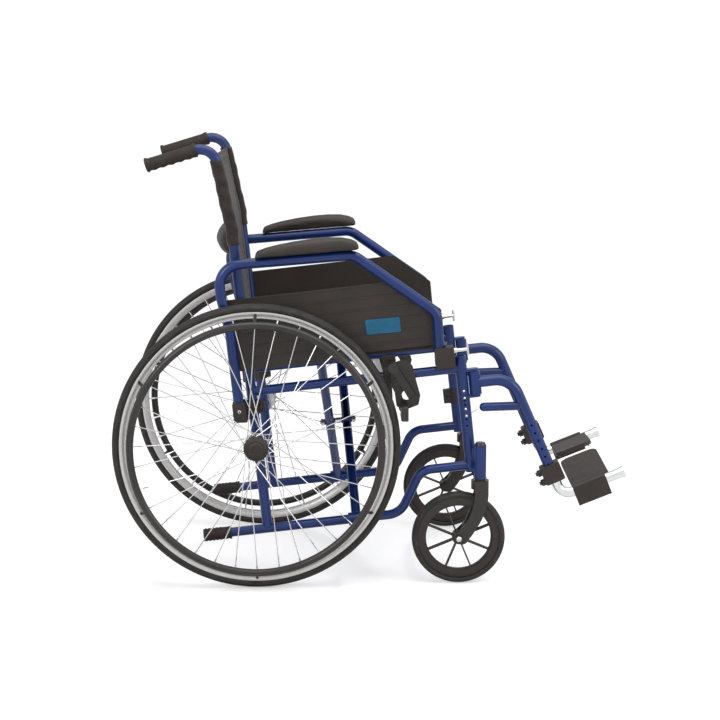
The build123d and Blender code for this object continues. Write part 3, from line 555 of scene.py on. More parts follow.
@functools.cache
def seam_tree():
    """Stitches at an even pitch along the edges of a guide mesh."""
    tree = Tree("Stitches", (("Guide", "Object"), ("Pitch", "Float"), ("Thread", "Float")))
    guide = tree.node("GeometryNodeObjectInfo")
    tree.join(tree.given("Guide"), guide.inputs["Object"])
    line = tree.node("GeometryNodeMeshToCurve")
    tree.join(guide.outputs["Geometry"], line.inputs["Mesh"])
    spaced = tree.node("GeometryNodeResampleCurve", mode="LENGTH")
    tree.join(line.outputs[0], spaced.inputs["Curve"])
    tree.join(tree.given("Pitch"), spaced.inputs["Length"])
    tangent = tree.node("GeometryNodeInputTangent")
    along = tree.node("FunctionNodeAlignRotationToVector", axis="X")
    tree.join(tangent.outputs[0], along.inputs["Vector"])
    thread = tree.node("GeometryNodeMeshUVSphere")
    thread.inputs["Segments"].default_value = 6
    thread.inputs["Rings"].default_value = 4
    thread.inputs["Radius"].default_value = 1.0
    size = tree.point(
        tree.math("MULTIPLY", tree.given("Pitch"), 0.36), tree.given("Thread"), tree.given("Thread")
    )
    copies = tree.node("GeometryNodeInstanceOnPoints")
    tree.join(spaced.outputs[0], copies.inputs["Points"])
    tree.join(thread.outputs["Mesh"], copies.inputs["Instance"])
    tree.join(along.outputs[0], copies.inputs["Rotation"])
    tree.join(size, copies.inputs["Scale"])
    tree.end(copies.outputs[0])
    return tree


def lacing_tree():
    """Crossed wire spokes with their nipples, around a wheel that turns about Y."""
    tree = Tree(
        "Laced spokes",
        (
            ("Count", "Int"),
            ("Flange", "Float"),
            ("Reach", "Float"),
            ("Inner", "Float"),
            ("Outer", "Float"),
            ("Crossing", "Float"),
            ("Wire", "Float"),
            ("Nipple", "Float"),
        ),
    )
    index = tree.node("GeometryNodeInputIndex").outputs[0]
    share = tree.math("DIVIDE", 2 * math.pi, tree.given("Count"))
    rim_turn = tree.math("MULTIPLY", index, share)
    odd = tree.math("MODULO", index, 2.0)
    sweep = tree.math("LESS_THAN", tree.math("MODULO", index, 4.0), 1.5)
    sweep = tree.math("SUBTRACT", tree.math("MULTIPLY", sweep, 2.0), 1.0)
    hub_turn = tree.math("ADD", rim_turn, tree.math("MULTIPLY", sweep, tree.given("Crossing")))
    side = tree.math(
        "ADD",
        tree.math("MULTIPLY", odd, tree.given("Inner")),
        tree.math("MULTIPLY", tree.math("SUBTRACT", 1.0, odd), tree.given("Outer")),
    )
    start = tree.point(
        tree.math("MULTIPLY", tree.math("COSINE", hub_turn), tree.given("Flange")),
        side,
        tree.math("MULTIPLY", tree.math("SINE", hub_turn), tree.given("Flange")),
    )
    finish = tree.point(
        tree.math("MULTIPLY", tree.math("COSINE", rim_turn), tree.given("Reach")),
        tree.math("MULTIPLY", side, 0.08),
        tree.math("MULTIPLY", tree.math("SINE", rim_turn), tree.given("Reach")),
    )
    run = tree.node("ShaderNodeVectorMath", operation="SUBTRACT")
    tree.join(finish, run.inputs[0])
    tree.join(start, run.inputs[1])
    length = tree.node("ShaderNodeVectorMath", operation="LENGTH")
    tree.join(run.outputs[0], length.inputs[0])
    along = tree.node("FunctionNodeAlignRotationToVector", axis="Z")
    tree.join(run.outputs[0], along.inputs["Vector"])
    middle = tree.node("ShaderNodeVectorMath", operation="ADD")
    tree.join(start, middle.inputs[0])
    tree.join(finish, middle.inputs[1])
    halved = tree.node("ShaderNodeVectorMath", operation="SCALE")
    tree.join(middle.outputs[0], halved.inputs[0])
    halved.inputs["Scale"].default_value = 0.5
    joined = tree.node("GeometryNodeJoinGeometry")
    for place, radius, height, sides in (
        (halved.outputs[0], tree.given("Wire"), length.outputs["Value"], 8),
        (finish, tree.given("Nipple"), 0.026, 8),
    ):
        points = tree.node("GeometryNodePoints")
        tree.join(tree.given("Count"), points.inputs["Count"])
        tree.join(place, points.inputs["Position"])
        rod = tree.node("GeometryNodeMeshCylinder")
        rod.inputs["Vertices"].default_value = sides
        rod.inputs["Radius"].default_value = 1.0
        rod.inputs["Depth"].default_value = 1.0
        copies = tree.node("GeometryNodeInstanceOnPoints")
        tree.join(points.outputs[0], copies.inputs["Points"])
        tree.join(rod.outputs["Mesh"], copies.inputs["Instance"])
        tree.join(along.outputs[0], copies.inputs["Rotation"])
        tree.join(tree.point(radius, radius, height), copies.inputs["Scale"])
        tree.join(copies.outputs[0], joined.inputs[0])
    tree.end(joined.outputs[0])
    return tree


def screw_head():
    """A domed head with a round socket, one unit in radius, standing on z = 0."""
    shape = bmesh.new()
    profile = [(1.0, -0.15), (1.0, 0.25)]
    profile += arc((0.0, -0.55), 1.28, 38, 66, 4)
    profile += [(0.45, 0.6), (0.45, 0.2), (0.0, 0.2)]
    turned(shape, profile, (0, 0, 0), (0, 0, 1), 18, closed=False)
    piece = settled(shape, "screw_head", "bright_steel")
    return piece


class WHEELCHAIR_OT_rear_wheels(bpy.types.Operator):
    """Turn the tyres, rims, hubs and handrims and lace the spokes"""

    bl_idname = "wheelchair.rear_wheels"
    bl_label = "Rear wheels"

    def execute(self, context):
        wheels = context.scene.wheelchair_wheels
        lacing = lacing_tree()
        for hand, side in HANDS:
            body = hand + "_wheel"
            middle = Vector((AXLE.x, side * WHEEL_HALF, AXLE.z))
            axis = (0, side, 0)
            shape = bmesh.new()
            profile = [(0.2896, 0.0128), (0.2930, 0.0160), (0.2965, 0.0163)]
            crown = arc((0.2885, 0.0), 0.0164, 66, -66, 22)
            crown = [(r, a * 0.965) for r, a in crown]
            groove = [(r - (0.0006 if n in (4, 18) else 0.0), a) for n, (r, a) in enumerate(crown)]
            profile += groove + [(0.2965, -0.0163), (0.2930, -0.0160), (0.2896, -0.0128)]
            turned(shape, profile, middle, axis, 180)
            dress(settled(shape, hand + "_tyre_ring", "tread"), body, "tread", hand + "_tyre")

            shape = bmesh.new()
            profile = [(0.2892, 0.0118), (0.2886, 0.0130), (0.2870, 0.0133), (0.2843, 0.0131)]
            profile += [(0.2765, 0.0111), (0.2747, 0.0098), (0.2736, 0.0070)]
            profile += [(0.2735, 0.0), (0.2736, -0.0070), (0.2747, -0.0098), (0.2765, -0.0111)]
            profile += [(0.2843, -0.0131), (0.2870, -0.0133), (0.2886, -0.0130)]
            profile += [(0.2892, -0.0118), (0.2826, -0.0090), (0.2824, 0.0), (0.2826, 0.0090)]
            turned(shape, profile, middle, axis, 180)
            dress(settled(shape, hand + "_rim_ring", "rim_grey"), body, "rim_grey", hand + "_rim")

            wires = lacing.grown(
                hand + "_wires",
                "bright_steel",
                Count=wheels.spokes,
                Flange=0.0215,
                Reach=0.2733,
                Inner=side * -0.017,
                Outer=side * 0.021,
                Crossing=math.radians(68.0),
                Wire=wheels.spoke_size / 2,
                Nipple=0.0021,
            )
            wires.data.transform(Matrix.Translation(middle))
            shape = bmesh.new()
            for along in (-0.017, 0.021):
                profile = [(0.009, -0.001), (0.0245, -0.001), (0.025, -0.0005)]
                profile += [(0.025, 0.0005), (0.0245, 0.001), (0.009, 0.001)]
                turned(shape, profile, middle + Vector((0, side * along, 0)), axis, 40)
            profile = [(0.0061, -0.02), (0.009, -0.02), (0.009, 0.024), (0.0061, 0.024)]
            turned(shape, profile, middle, axis, 32)
            flanges = settled(shape, hand + "_flanges", "bright_steel")
            dress(flanges, body, "bright_steel")
            dress(wires, body, "bright_steel", hand + "_spokes")

            shape = bmesh.new()
            profile = [(0.0091, -0.0159), (0.0205, -0.0159), (0.0195, -0.014), (0.0152, -0.0095)]
            profile += [(0.0150, 0.0135), (0.0195, 0.018), (0.0205, 0.0199), (0.0091, 0.0199)]
            turned(shape, profile, middle, axis, 48)
            profile = [(0.0, 0.0355), (0.0063, 0.0355), (0.0063, 0.0222), (0.0262, 0.0222)]
            profile += [(0.0265, 0.0226), (0.0265, 0.0245), (0.0255, 0.0255), (0.0185, 0.0275)]
            profile += [(0.0172, 0.0290), (0.0165, 0.0350), (0.0150, 0.0368), (0.0105, 0.0382)]
            profile += [(0.0085, 0.0380), (0.0080, 0.0372), (0.0, 0.0372)]
            turned(shape, profile, middle, axis, 48, closed=False)
            hub = settled(shape, hand + "_hub_shell", "dark_plastic")
            dress(hub, body, "dark_plastic", hand + "_hub")

            shape = bmesh.new()
            ring = middle + Vector((0, side * 0.039, 0))
            profile = arc((wheels.handrim_radius, 0.0), 0.0079, 0, 345, 23)
            turned(shape, profile, ring, axis, 180)
            for number in range(6):
                turn = math.radians(30.0 + 60.0 * number)
                ray = Vector((math.cos(turn), 0, math.sin(turn)))
                start = middle + ray * 0.2815 + Vector((0, side * 0.0138, 0))
                end = ring + ray * (wheels.handrim_radius + 0.002)
                tube(shape, (start, start.lerp(end, 0.5), end), 0.0035, 12)
            ring_piece = settled(shape, hand + "_push_ring", "dark_metal")
            dress(ring_piece, body, "dark_metal", hand + "_handrim")
        return {"FINISHED"}


def dress(piece, body, slot, *stands_for):
    """Lets a piece ride on its body and stand for its CAD nodes."""
    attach(piece, body)
    if stands_for:
        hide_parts(*stands_for)
        DRESSED.update(stands_for)
    return piece


def lined_guide(lines):
    """A helper object whose edges follow lines of points."""
    shape = bmesh.new()
    for line in lines:
        corners = [shape.verts.new(point) for point in line]
        for start, end in zip(corners, corners[1:]):
            shape.edges.new((start, end))
    mesh = bpy.data.meshes.new("guide")
    shape.to_mesh(mesh)
    shape.free()
    guide = bpy.data.objects.new("guide", mesh)
    bpy.context.scene.collection.objects.link(guide)
    return guide


def stitched(name, lines, pitch, thread=0.00045):
    """A piece of stitches along lines of points."""
    guide = lined_guide(lines)
    piece = seam_tree().grown(name, "thread", Guide=guide, Pitch=pitch, Thread=thread)
    bpy.data.objects.remove(guide)
    return piece


def screw_row(name, start, step, count, facing, size, finish="bright_steel"):
    """A piece of screw heads in a row."""
    head = screw_head()
    piece = row_tree().grown(
        name, finish, Part=head, Count=count, Start=start, Step=step, Facing=facing, Size=size
    )
    bpy.data.objects.remove(head)
    return piece


def cloth_grid(name, rows, columns, place, thickness, extra=None):
    """Cloth over a grid of places, thicker at hems by what extra(row, column) says."""
    shape = bmesh.new()
    grid = [[shape.verts.new(place(row, column)) for column in columns] for row in rows]
    for lower, upper in zip(grid, grid[1:]):
        for number in range(len(columns) - 1):
            shape.faces.new((lower[number], lower[number + 1], upper[number + 1], upper[number]))
    bmesh.ops.recalc_face_normals(shape, faces=shape.faces)
    for face in shape.faces:
        face.smooth = True
    mesh = bpy.data.meshes.new(name)
    shape.to_mesh(mesh)
    shape.free()
    piece = added(name, mesh, "cloth")
    solid = piece.modifiers.new("thickness", "SOLIDIFY")
    solid.thickness = thickness
    solid.offset = 0
    if extra:
        group = piece.vertex_groups.new(name="hem")
        number = 0
        for row in rows:
            for column in columns:
                group.add([number], 0.5 + 0.5 * extra(row, column), "REPLACE")
                number += 1
        solid.thickness = 2 * thickness
        solid.vertex_group = "hem"
    plain(piece)
    piece.vertex_groups.clear()
    return piece


def spread(start, end, count):
    return [start + (end - start) * number / count for number in range(count + 1)]


class WHEELCHAIR_OT_seat(bpy.types.Operator):
    """Sew the seat sling over the two seat tubes and screw it down"""

    bl_idname = "wheelchair.seat"
    bl_label = "Seat sling"

    def execute(self, context):
        cloth = context.scene.wheelchair_cloth
        back, front, tube_y, tube_z = 0.036, 0.412, FRAME_HALF, 0.158
        wrap = 0.0100 + 0.0003 + cloth.thickness * 0.5
        rows = [back, back + 0.001, back + 0.021, back + 0.022]
        rows += spread(back + 0.028, front - 0.028, 56)
        rows += [front - 0.022, front - 0.021, front - 0.001, front]
        columns = [("span", 0.0, y) for y in spread(-tube_y, tube_y, 72)]

        def place(row, column, lift=0.0):
            kind, side, value = column
            if kind == "turn":
                reach = wrap + lift
                return at(
                    row, side * (tube_y + reach * math.cos(value)), tube_z + reach * math.sin(value)
                )
            share = (row - back) / (front - back)
            off = abs(value) / tube_y
            sag = cloth.seat_sag * (0.8 + 0.2 * math.sin(math.pi * share)) * (1 - off**2)
            crease = 0.0011 * math.sin(27 * share + 5 * off) * off**3 * (1 - off)
            crease += 0.0007 * math.sin(9 * value / tube_y + 2 * share) * (1 - off)
            return at(row, value, tube_z + wrap - sag + crease + lift)

        def hem(row, column):
            if back < row < back + 0.0215 or front - 0.0215 < row < front:
                return 1.0
            if column[0] == "turn" or abs(column[2]) > 0.190:
                return 0.5
            return 0.0

        sling = cloth_grid("seat_cloth", rows, columns, place, cloth.thickness, hem)
        lines = []
        for row in (back + 0.018, front - 0.018, front - 0.004):
            lines.append([place(row, ("span", 0, y), 0.0022) for y in spread(-0.212, 0.212, 72)])
        for y in (-0.194, -0.190, 0.190, 0.194):
            lines.append([place(row, ("span", 0, y), 0.0017) for row in rows[3:-3]])
        seams = stitched("seat_stitches", lines, cloth.stitch)
        fixings = []
        for (hand, side), tube_body in zip(HANDS, ("brace_a", "brace_b")):
            turns = [("turn", side, math.radians(a)) for a in spread(90, 6, 8)]
            edge = cloth_grid(hand + "_seat_edge", rows, turns, place, cloth.thickness, hem)
            start = at(back + 0.03, side * tube_y, tube_z + wrap + 0.0016)
            screws = screw_row(
                hand + "_seat_screws", start, FORWARDS * 0.079, 5, UPWARDS, 0.0052
            )
            dress(edge, tube_body, "cloth")
            dress(screws, tube_body, "bright_steel")
            fixings += [edge, screws]
        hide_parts("seat_sling")
        DRESSED.add("seat_sling")
        for piece in (sling, seams):
            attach(piece, "seat")
            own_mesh(piece)
        return {"FINISHED"}


def cane(height):
    """The back cane's centre line: x and z in the side frame at a height along it."""
    lean = 0.1029
    low = 0.457 - 0.060 * math.tan(lean / 2)
    bend = 0.060 * math.sin(lean)
    if height < low:
        return 0.0, height
    if height < low + bend:
        turn = math.asin((height - low) / 0.060)
        return -0.060 * (1 - math.cos(turn)), height
    return -0.060 * (1 - math.cos(lean)) - (height - low - bend) * math.tan(lean), height


class WHEELCHAIR_OT_back(bpy.types.Operator):
    """Sew the back sling with its sleeves and its pocket"""

    bl_idname = "wheelchair.back"
    bl_label = "Back sling"

    def execute(self, context):
        cloth = context.scene.wheelchair_cloth
        low, high, cane_y = 0.215, 0.604, FRAME_HALF
        sleeve_low = 0.424
        edge = cane_y - 0.0127
        rows = [low, low + 0.001, low + 0.021, low + 0.022]
        rows += spread(low + 0.028, high - 0.028, 60)
        rows += [high - 0.022, high - 0.021, high - 0.001, high]

        def place(row, y, push=0.0):
            x, z = cane(row)
            share = (row - low) / (high - low)
            off = abs(y) / edge
            sag = (0.010 + 0.013 * math.sin(math.pi * min(1.0, share * 1.25)) ** 2) * (1 - off**2)
            crease = 0.0016 * math.sin(21 * share + 4 * off) * off**3 * (1 - off)
            crease += 0.001 * math.sin(7 * off + 3 * share) * (1 - off)
            return at(x - sag + crease + push, y, z)

        def hem(row, y):
            if low < row < low + 0.0215 or high - 0.0215 < row < high:
                return 1.0
            return 0.5 if abs(y) > edge - 0.016 else 0.0

        columns = spread(-edge, edge, 72)
        sheet = cloth_grid("back_cloth", rows, columns, place, cloth.thickness, hem)
        lines = []
        for row in (low + 0.018, high - 0.018, high - 0.004):
            for push in (-0.0022, 0.0022):
                lines.append([place(row, y, push) for y in columns])
        for y in (-edge + 0.013, edge - 0.013):
            for push in (-0.0018, 0.0018):
                lines.append([place(row, y, push) for row in rows[3:-3]])
        seams = stitched("back_stitches", lines, cloth.stitch)

        for hand, side in HANDS:
            heights = spread(sleeve_low, high, 46)

            def around(row, turn, side=side):
                x, z = cane(row)
                share = (row - sleeve_low) / (high - sleeve_low)
                slack = 0.0009 * math.sin(34 * share + 2 * math.sin(turn)) * math.sin(turn / 2) ** 2
                puff = 0.0005 * math.sin(13 * share + 3 * turn)
                reach = 0.0128 + slack + puff
                return at(
                    x + reach * math.sin(turn), side * (cane_y - reach * math.cos(turn)), z
                )

            sleeve = cloth_grid(
                hand + "_back_sleeve",
                heights,
                [math.radians(a) for a in spread(0, 360, 28)],
                around,
                cloth.thickness * 0.8,
            )
            dress(sleeve, hand + "_frame", "cloth")

        pouch = bmesh.new()
        rings = []
        for share, deep, tall in (
            (0.0, 0.004, 0.020),
            (0.015, 0.011, 0.026),
            (0.05, 0.017, 0.0285),
            (0.12, 0.021, 0.0295),
            (0.3, 0.024, 0.030),
            (0.5, 0.025, 0.030),
            (0.7, 0.024, 0.030),
            (0.88, 0.021, 0.0295),
            (0.95, 0.017, 0.0285),
            (0.985, 0.011, 0.026),
            (1.0, 0.004, 0.020),
        ):
            y = -0.15 + 0.30 * share
            base = place(0.4225, y, -0.0022)
            ring = []
            for number in range(24):
                turn = 2 * math.pi * number / 24
                back_out = max(0.0, -math.cos(turn)) ** 0.8
                sink = 0.006 * back_out * math.sin(turn)
                crumple = 0.0012 * math.sin(5 * turn + 40 * share) * back_out
                ring.append(
                    pouch.verts.new(
                        base
                        - FORWARDS * ((deep + crumple) * back_out + 0.0004)
                        + UPWARDS * (tall * math.sin(turn) - sink)
                    )
                )
            rings.append(ring)
        skin(pouch, rings)
        pocket = settled(pouch, "back_pocket", "cloth", 70)
        soften = pocket.modifiers.new("soften", "SUBSURF")
        soften.levels = soften.render_levels = 2
        plain(pocket)

        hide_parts("back_sling")
        DRESSED.add("back_sling")
        for piece in (sheet, seams, pocket):
            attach(piece, "right_frame")
            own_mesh(piece)
        return {"FINISHED"}


class WHEELCHAIR_OT_pads(bpy.types.Operator):
    """Swell the padded armrests"""

    bl_idname = "wheelchair.pads"
    bl_label = "Armrest pads"

    def execute(self, context):
        top_line = (
            (0.0425, 0.3960), (0.0445, 0.4030), (0.0490, 0.4085), (0.0660, 0.4130),
            (0.0900, 0.4165), (0.1270, 0.4195), (0.1650, 0.4210), (0.1980, 0.4205),
            (0.2280, 0.4175), (0.2470, 0.4120), (0.2580, 0.4055), (0.2615, 0.3970),
            (0.2615, 0.3905),
        )
        for hand, side in HANDS:
            middle = side * 0.255

            def floor(x):
                return 0.3954 - 0.0279 * (x - 0.041)

            shape = bmesh.new()
            rings = []
            across = spread(-1.0, 1.0, 12)
            for x, z in top_line:
                low = floor(x) + 0.0003
                ring = []
                for share in across:
                    crown = max(0.0, 1 - abs(share) ** 4.0) ** 0.5
                    height = low + (z - low) * (0.30 + 0.70 * crown)
                    ring.append(shape.verts.new(at(x, middle + share * 0.0205, height)))
                for share in (0.97, 0.0, -0.97):
                    ring.append(shape.verts.new(at(x, middle + share * 0.0200, low)))
                rings.append(ring)
            skin(shape, rings)
            pad = settled(shape, hand + "_arm_pad", "pad", 80)
            remesh = pad.modifiers.new("remesh", "REMESH")
            remesh.mode = "VOXEL"
            remesh.voxel_size = 0.004
            remesh.use_smooth_shade = True
            plain(pad)
            swell(pad, 0.0022)
            for vertex in pad.data.vertices:
                lean = vertex.co - at(0, 0, 0)
                x, z = lean.dot(FORWARDS), lean.dot(UPWARDS)
                if z < floor(x) + 0.0002:
                    vertex.co += UPWARDS * (floor(x) + 0.0002 - z)
            soften = pad.modifiers.new("soften", "SUBSURF")
            soften.levels = soften.render_levels = 1
            plain(pad)
            dress(pad, hand + "_armrest", "dark_plastic", hand + "_armrest_pad")
        return {"FINISHED"}


def swell(piece, cap):
    """Puffs a closed piece up with a short cloth simulation, no point moving more than cap."""
    scene = bpy.context.scene
    start = [vertex.co.copy() for vertex in piece.data.vertices]
    blown = piece.modifiers.new("cloth", "CLOTH")
    blown.settings.use_pressure = True
    blown.settings.uniform_pressure_force = 4.0
    blown.settings.effector_weights.gravity = 0.0
    blown.settings.quality = 6
    blown.collision_settings.use_collision = False
    blown.point_cache.frame_start = 1
    blown.point_cache.frame_end = 20
    for number in range(1, 21):
        scene.frame_set(number)
    graph = bpy.context.evaluated_depsgraph_get()
    blown_mesh = piece.evaluated_get(graph).to_mesh()
    ends = [vertex.co.copy() for vertex in blown_mesh.vertices]
    piece.evaluated_get(graph).to_mesh_clear()
    piece.modifiers.clear()
    scene.frame_set(1)
    for vertex, first, end in zip(piece.data.vertices, start, ends):
        move = end - first
        if move.length > cap:
            move *= cap / move.length
        vertex.co = first + move


class WHEELCHAIR_OT_grips(bpy.types.Operator):
    """Mould the push grips with their flanges and finger swells"""

    bl_idname = "wheelchair.grips"
    bl_label = "Push grips"

    def execute(self, context):
        for hand, side in HANDS:
            start = at(-0.1641, side * FRAME_HALF, 0.6097)
            way = (at(-0.0185, side * FRAME_HALF, 0.6369) - start).normalized()
            down = (-UPWARDS + way * way.dot(UPWARDS)).normalized()
            profile = [(0.0, 0.0), (0.006, 0.0001), (0.0125, 0.0006), (0.0150, 0.0016)]
            profile += [(0.0158, 0.0032), (0.0156, 0.0052), (0.0146, 0.0068), (0.0136, 0.0085)]
            profile += [(0.0132, step * 0.001) for step in range(11, 101, 2)]
            profile += [(0.0134, 0.1020), (0.0142, 0.1045), (0.0147, 0.1070), (0.0147, 0.1100)]
            profile += [(0.0140, 0.1119), (0.0125, 0.1120), (0.0112, 0.1119), (0.0112, 0.0060)]
            profile += [(0.0, 0.0060)]
            shape = bmesh.new()
            turned(shape, profile, start, way, 40, closed=False)
            for vertex in shape.verts:
                lean = vertex.co - start
                along = lean.dot(way)
                ray = lean - way * along
                if 0.009 < along < 0.103 and ray.length > 0.012:
                    below = max(0.0, ray.normalized().dot(down))
                    swells = 0.5 - 0.5 * math.cos(2 * math.pi * (along - 0.009) / 0.0188)
                    vertex.co += ray.normalized() * 0.0019 * swells * below**1.2
            grip = settled(shape, hand + "_grip", "soft_rubber", 50)
            dress(grip, hand + "_frame", "soft_rubber", hand + "_push_grip")
        return {"FINISHED"}


def outermost(node, place, within, side):
    """How far sideways a CAD node reaches near a place on the side frame."""
    found = [
        side * corner.co.y
        for corner in nodes[node].data.vertices
        if math.hypot(corner.co.x - place.x, corner.co.z - place.z) < within
    ]
    return side * max(found)


class WHEELCHAIR_OT_fittings(bpy.types.Operator):
    """Add the rivets, bolt heads, latch wires and the bare plate"""

    bl_idname = "wheelchair.fittings"
    bl_label = "Small fittings"

    def execute(self, context):
        for hand, side in HANDS:
            outwards = Vector((0, side, 0))
            post_face = side * 0.2294
            for name, height in (("upper", 0.0597), ("lower", 0.0206)):
                rivets = screw_row(
                    f"{hand}_{name}_post_rivets",
                    at(0.4500, post_face, height),
                    UPWARDS * -0.0151,
                    2,
                    outwards,
                    0.0026,
                )
                dress(rivets, hand + "_frame", "bright_steel")
            caster_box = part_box(hand + "_caster_tyre")
            caster = (caster_box[0] + caster_box[1]) / 2
            for name, body, node, place, size in (
                ("caster_bolt", "_fork", "_caster_fork", caster, 0.0060),
                ("arm_bolt", "_frame", "_arm_hinge", at(-0.028, 0, 0.0745), 0.0048),
            ):
                start = Vector((place.x, outermost(hand + node, place, 0.012, side), place.z))
                bolt = screw_row(f"{hand}_{name}", start, outwards, 1, outwards, size)
                dress(bolt, hand + body, "bright_steel")
            shape = bmesh.new()
            wire = ((0.4605, 0.0092), (0.4660, 0.0104), (0.4715, 0.0126), (0.4752, 0.0155))
            tube(shape, [at(x, side * FRAME_HALF, z) for x, z in wire], 0.0012, 10)
            latch = settled(shape, hand + "_latch_wire", "bright_steel", 60)
            dress(latch, hand + "_frame", "bright_steel")

        shape = bmesh.new()
        rings = []
        for inset, out in ((0.0, 0.2348), (0.0, 0.2366), (0.0004, 0.2371), (0.0014, 0.2372)):
            half_long, half_tall, corner = 0.0370 - inset, 0.0160 - inset, 0.0040 - inset
            ring = []
            for quarter in range(4):
                sign_x, sign_z = ((1, 1), (-1, 1), (-1, -1), (1, -1))[quarter]
                for step in range(7):
                    turn = math.radians(90 * quarter + 15 * step)
                    x = sign_x * (half_long - corner) + corner * math.cos(turn)
                    z = sign_z * (half_tall - corner) + corner * math.sin(turn)
                    ring.append(shape.verts.new(at(0.2940 + x, -out, 0.2195 + z - 0.02 * x)))
            rings.append(ring)
        skin(shape, rings)
        plate = settled(shape, "panel_plate", "plate", 50)
        dress(plate, "right_armrest", "dark_plastic")
        return {"FINISHED"}


class WHEELCHAIR_OT_shells(bpy.types.Operator):
    """Dress the hard parts in smooth shells of their own shape"""

    bl_idname = "wheelchair.shells"
    bl_label = "Hard parts"

    def execute(self, context):
        slots = {part["node"]: part["material_slot"] for part in record["subparts"]}
        for body, members in record["behaviour"]["bodies"].items():
            for node in members:
                if node in DRESSED:
                    continue
                piece = added(node + "_shell", rounded_copy(node), slots[node])
                weighted = piece.modifiers.new("weights", "WEIGHTED_NORMAL")
                weighted.keep_sharp = True
                weighted.weight = 100
                plain(piece)
                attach(piece, body)
                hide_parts(node)
        return {"FINISHED"}


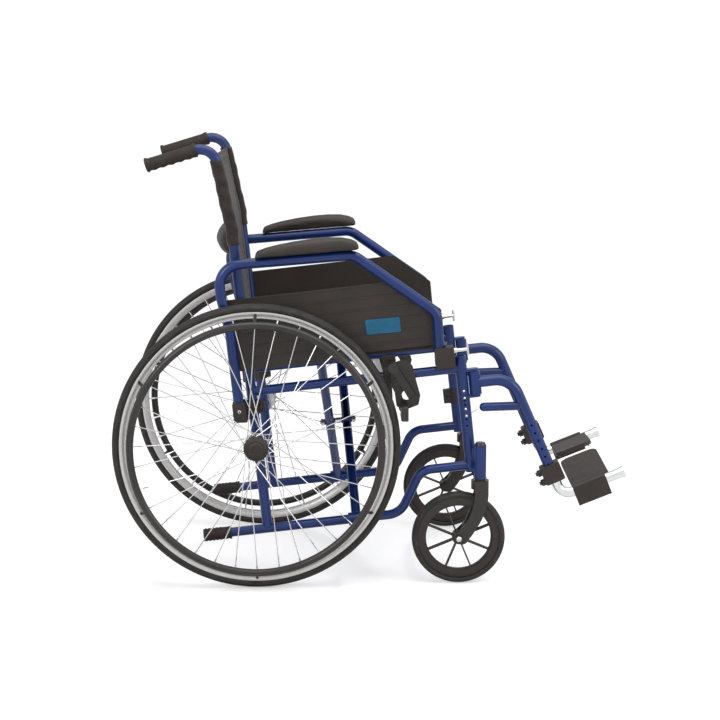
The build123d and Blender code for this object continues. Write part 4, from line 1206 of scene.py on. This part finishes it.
class WHEELCHAIR_OT_stage(bpy.types.Operator):
    """Lay the pale floor and set the lamps, the sky and the camera"""

    bl_idname = "wheelchair.stage"
    bl_label = "Stage"

    def execute(self, context):
        shape = bmesh.new()
        rows = []
        profile = [(-6.0, 0.0), (3.2, 0.0)]
        profile += [
            (3.2 + 2.0 * math.sin(math.radians(a)), 2.0 - 2.0 * math.cos(math.radians(a)))
            for a in range(10, 91, 10)
        ]
        profile += [(5.2, 7.0)]
        for y, z in profile:
            rows.append([shape.verts.new((x, y, z)) for x in (-9.0, 9.0)])
        for lower, upper in zip(rows, rows[1:]):
            face = shape.faces.new((lower[0], lower[1], upper[1], upper[0]))
            face.smooth = True
        mesh = bpy.data.meshes.new("floor")
        shape.to_mesh(mesh)
        shape.free()
        floor = bpy.data.objects.new("floor", mesh)
        context.scene.collection.objects.link(floor)
        material, tree, surface = shader("pale floor", Roughness=0.16)
        surface.inputs["Base Color"].default_value = (0.86, 0.86, 0.87, 1)
        surface.inputs["Specular IOR Level"].default_value = 0.35
        mapping = object_coordinates(tree)
        varied_roughness(tree, surface, noise(tree, mapping, 3.0), 0.12, 0.2)
        surface.inputs["Emission Color"].default_value = (1, 1, 1, 1)
        lit = tree.nodes.new("ShaderNodeLightPath")
        share = tree.nodes.new("ShaderNodeMath")
        share.operation = "MULTIPLY"
        share.inputs[1].default_value = 0.42
        link(tree, lit, "Is Camera Ray", share, 0)
        link(tree, share, "Value", surface, "Emission Strength")
        mesh.materials.append(material)

        world = bpy.data.worlds.new("studio")
        context.scene.world = world
        world.use_nodes = True
        tree = world.node_tree
        sky = tree.nodes["Background"]
        sky.inputs["Color"].default_value = (1, 1, 1, 1)
        seen = tree.nodes.new("ShaderNodeLightPath")
        shown = tree.nodes.new("ShaderNodeMath")
        shown.operation = "MAXIMUM"
        link(tree, seen, "Is Camera Ray", shown, 0)
        link(tree, seen, "Is Glossy Ray", shown, 1)
        strength = tree.nodes.new("ShaderNodeMapRange")
        strength.inputs["To Min"].default_value = 0.55
        strength.inputs["To Max"].default_value = 1.0
        link(tree, shown, "Value", strength, "Value")
        link(tree, strength, "Result", sky, "Strength")

        for name, place, size, power in (
            ("top light", (0.3, -0.6, 3.2), 3.0, 62.0),
            ("side light", (-2.2, -2.8, 1.9), 1.6, 34.0),
            ("front light", (2.6, -1.6, 1.7), 1.4, 22.0),
        ):
            lamp = bpy.data.lights.new(name, "AREA")
            lamp.size = size
            lamp.energy = power
            holder = bpy.data.objects.new(name, lamp)
            holder.location = place
            aim = Vector((0, 0, 0.4)) - Vector(place)
            holder.rotation_euler = aim.to_track_quat("-Z", "Y").to_euler()
            context.scene.collection.objects.link(holder)

        lens = bpy.data.cameras.new("camera")
        lens.lens = 103.35
        lens.sensor_width = 36.0
        lens.clip_end = 60.0
        camera = bpy.data.objects.new("camera", lens)
        camera.location = (AXLE.x + 0.153, -4.557, 1.202)
        yaw, pitch = math.radians(-0.88), math.radians(9.45)
        ahead = Vector(
            (-math.sin(yaw) * math.cos(pitch), math.cos(yaw) * math.cos(pitch), -math.sin(pitch))
        )
        camera.rotation_euler = ahead.to_track_quat("-Z", "Y").to_euler()
        context.scene.collection.objects.link(camera)
        context.scene.camera = camera
        context.scene.view_settings.view_transform = "Standard"
        return {"FINISHED"}


class WHEELCHAIR_PT_panel(bpy.types.Panel):
    """Settings and steps of the wheelchair"""

    bl_label = "Wheelchair"
    bl_idname = "WHEELCHAIR_PT_panel"
    bl_space_type = "VIEW_3D"
    bl_region_type = "UI"
    bl_category = "Wheelchair"

    def draw(self, context):
        for group in ("wheelchair_finish", "wheelchair_wheels", "wheelchair_cloth"):
            settings = getattr(context.scene, group)
            box = self.layout.box()
            for key in settings.__annotations__:
                box.prop(settings, key)
        for step in STEPS:
            self.layout.operator(step.bl_idname)


SETTINGS = (FinishSettings, WheelSettings, ClothSettings)
STEPS = (
    WHEELCHAIR_OT_finishes,
    WHEELCHAIR_OT_rear_wheels,
    WHEELCHAIR_OT_seat,
    WHEELCHAIR_OT_back,
    WHEELCHAIR_OT_pads,
    WHEELCHAIR_OT_grips,
    WHEELCHAIR_OT_fittings,
    WHEELCHAIR_OT_shells,
    WHEELCHAIR_OT_stage,
)


def register():
    for item in SETTINGS + STEPS + (WHEELCHAIR_PT_panel,):
        bpy.utils.register_class(item)
    scene = bpy.types.Scene
    scene.wheelchair_finish = bpy.props.PointerProperty(type=FinishSettings)
    scene.wheelchair_wheels = bpy.props.PointerProperty(type=WheelSettings)
    scene.wheelchair_cloth = bpy.props.PointerProperty(type=ClothSettings)


def unregister():
    scene = bpy.types.Scene
    del scene.wheelchair_cloth, scene.wheelchair_wheels, scene.wheelchair_finish
    for item in reversed(SETTINGS + STEPS + (WHEELCHAIR_PT_panel,)):
        bpy.utils.unregister_class(item)


def main():
    register()
    for step in STEPS:
        group, name = step.bl_idname.split(".")
        getattr(getattr(bpy.ops, group), name)()


if __name__ == "__main__":
    main()
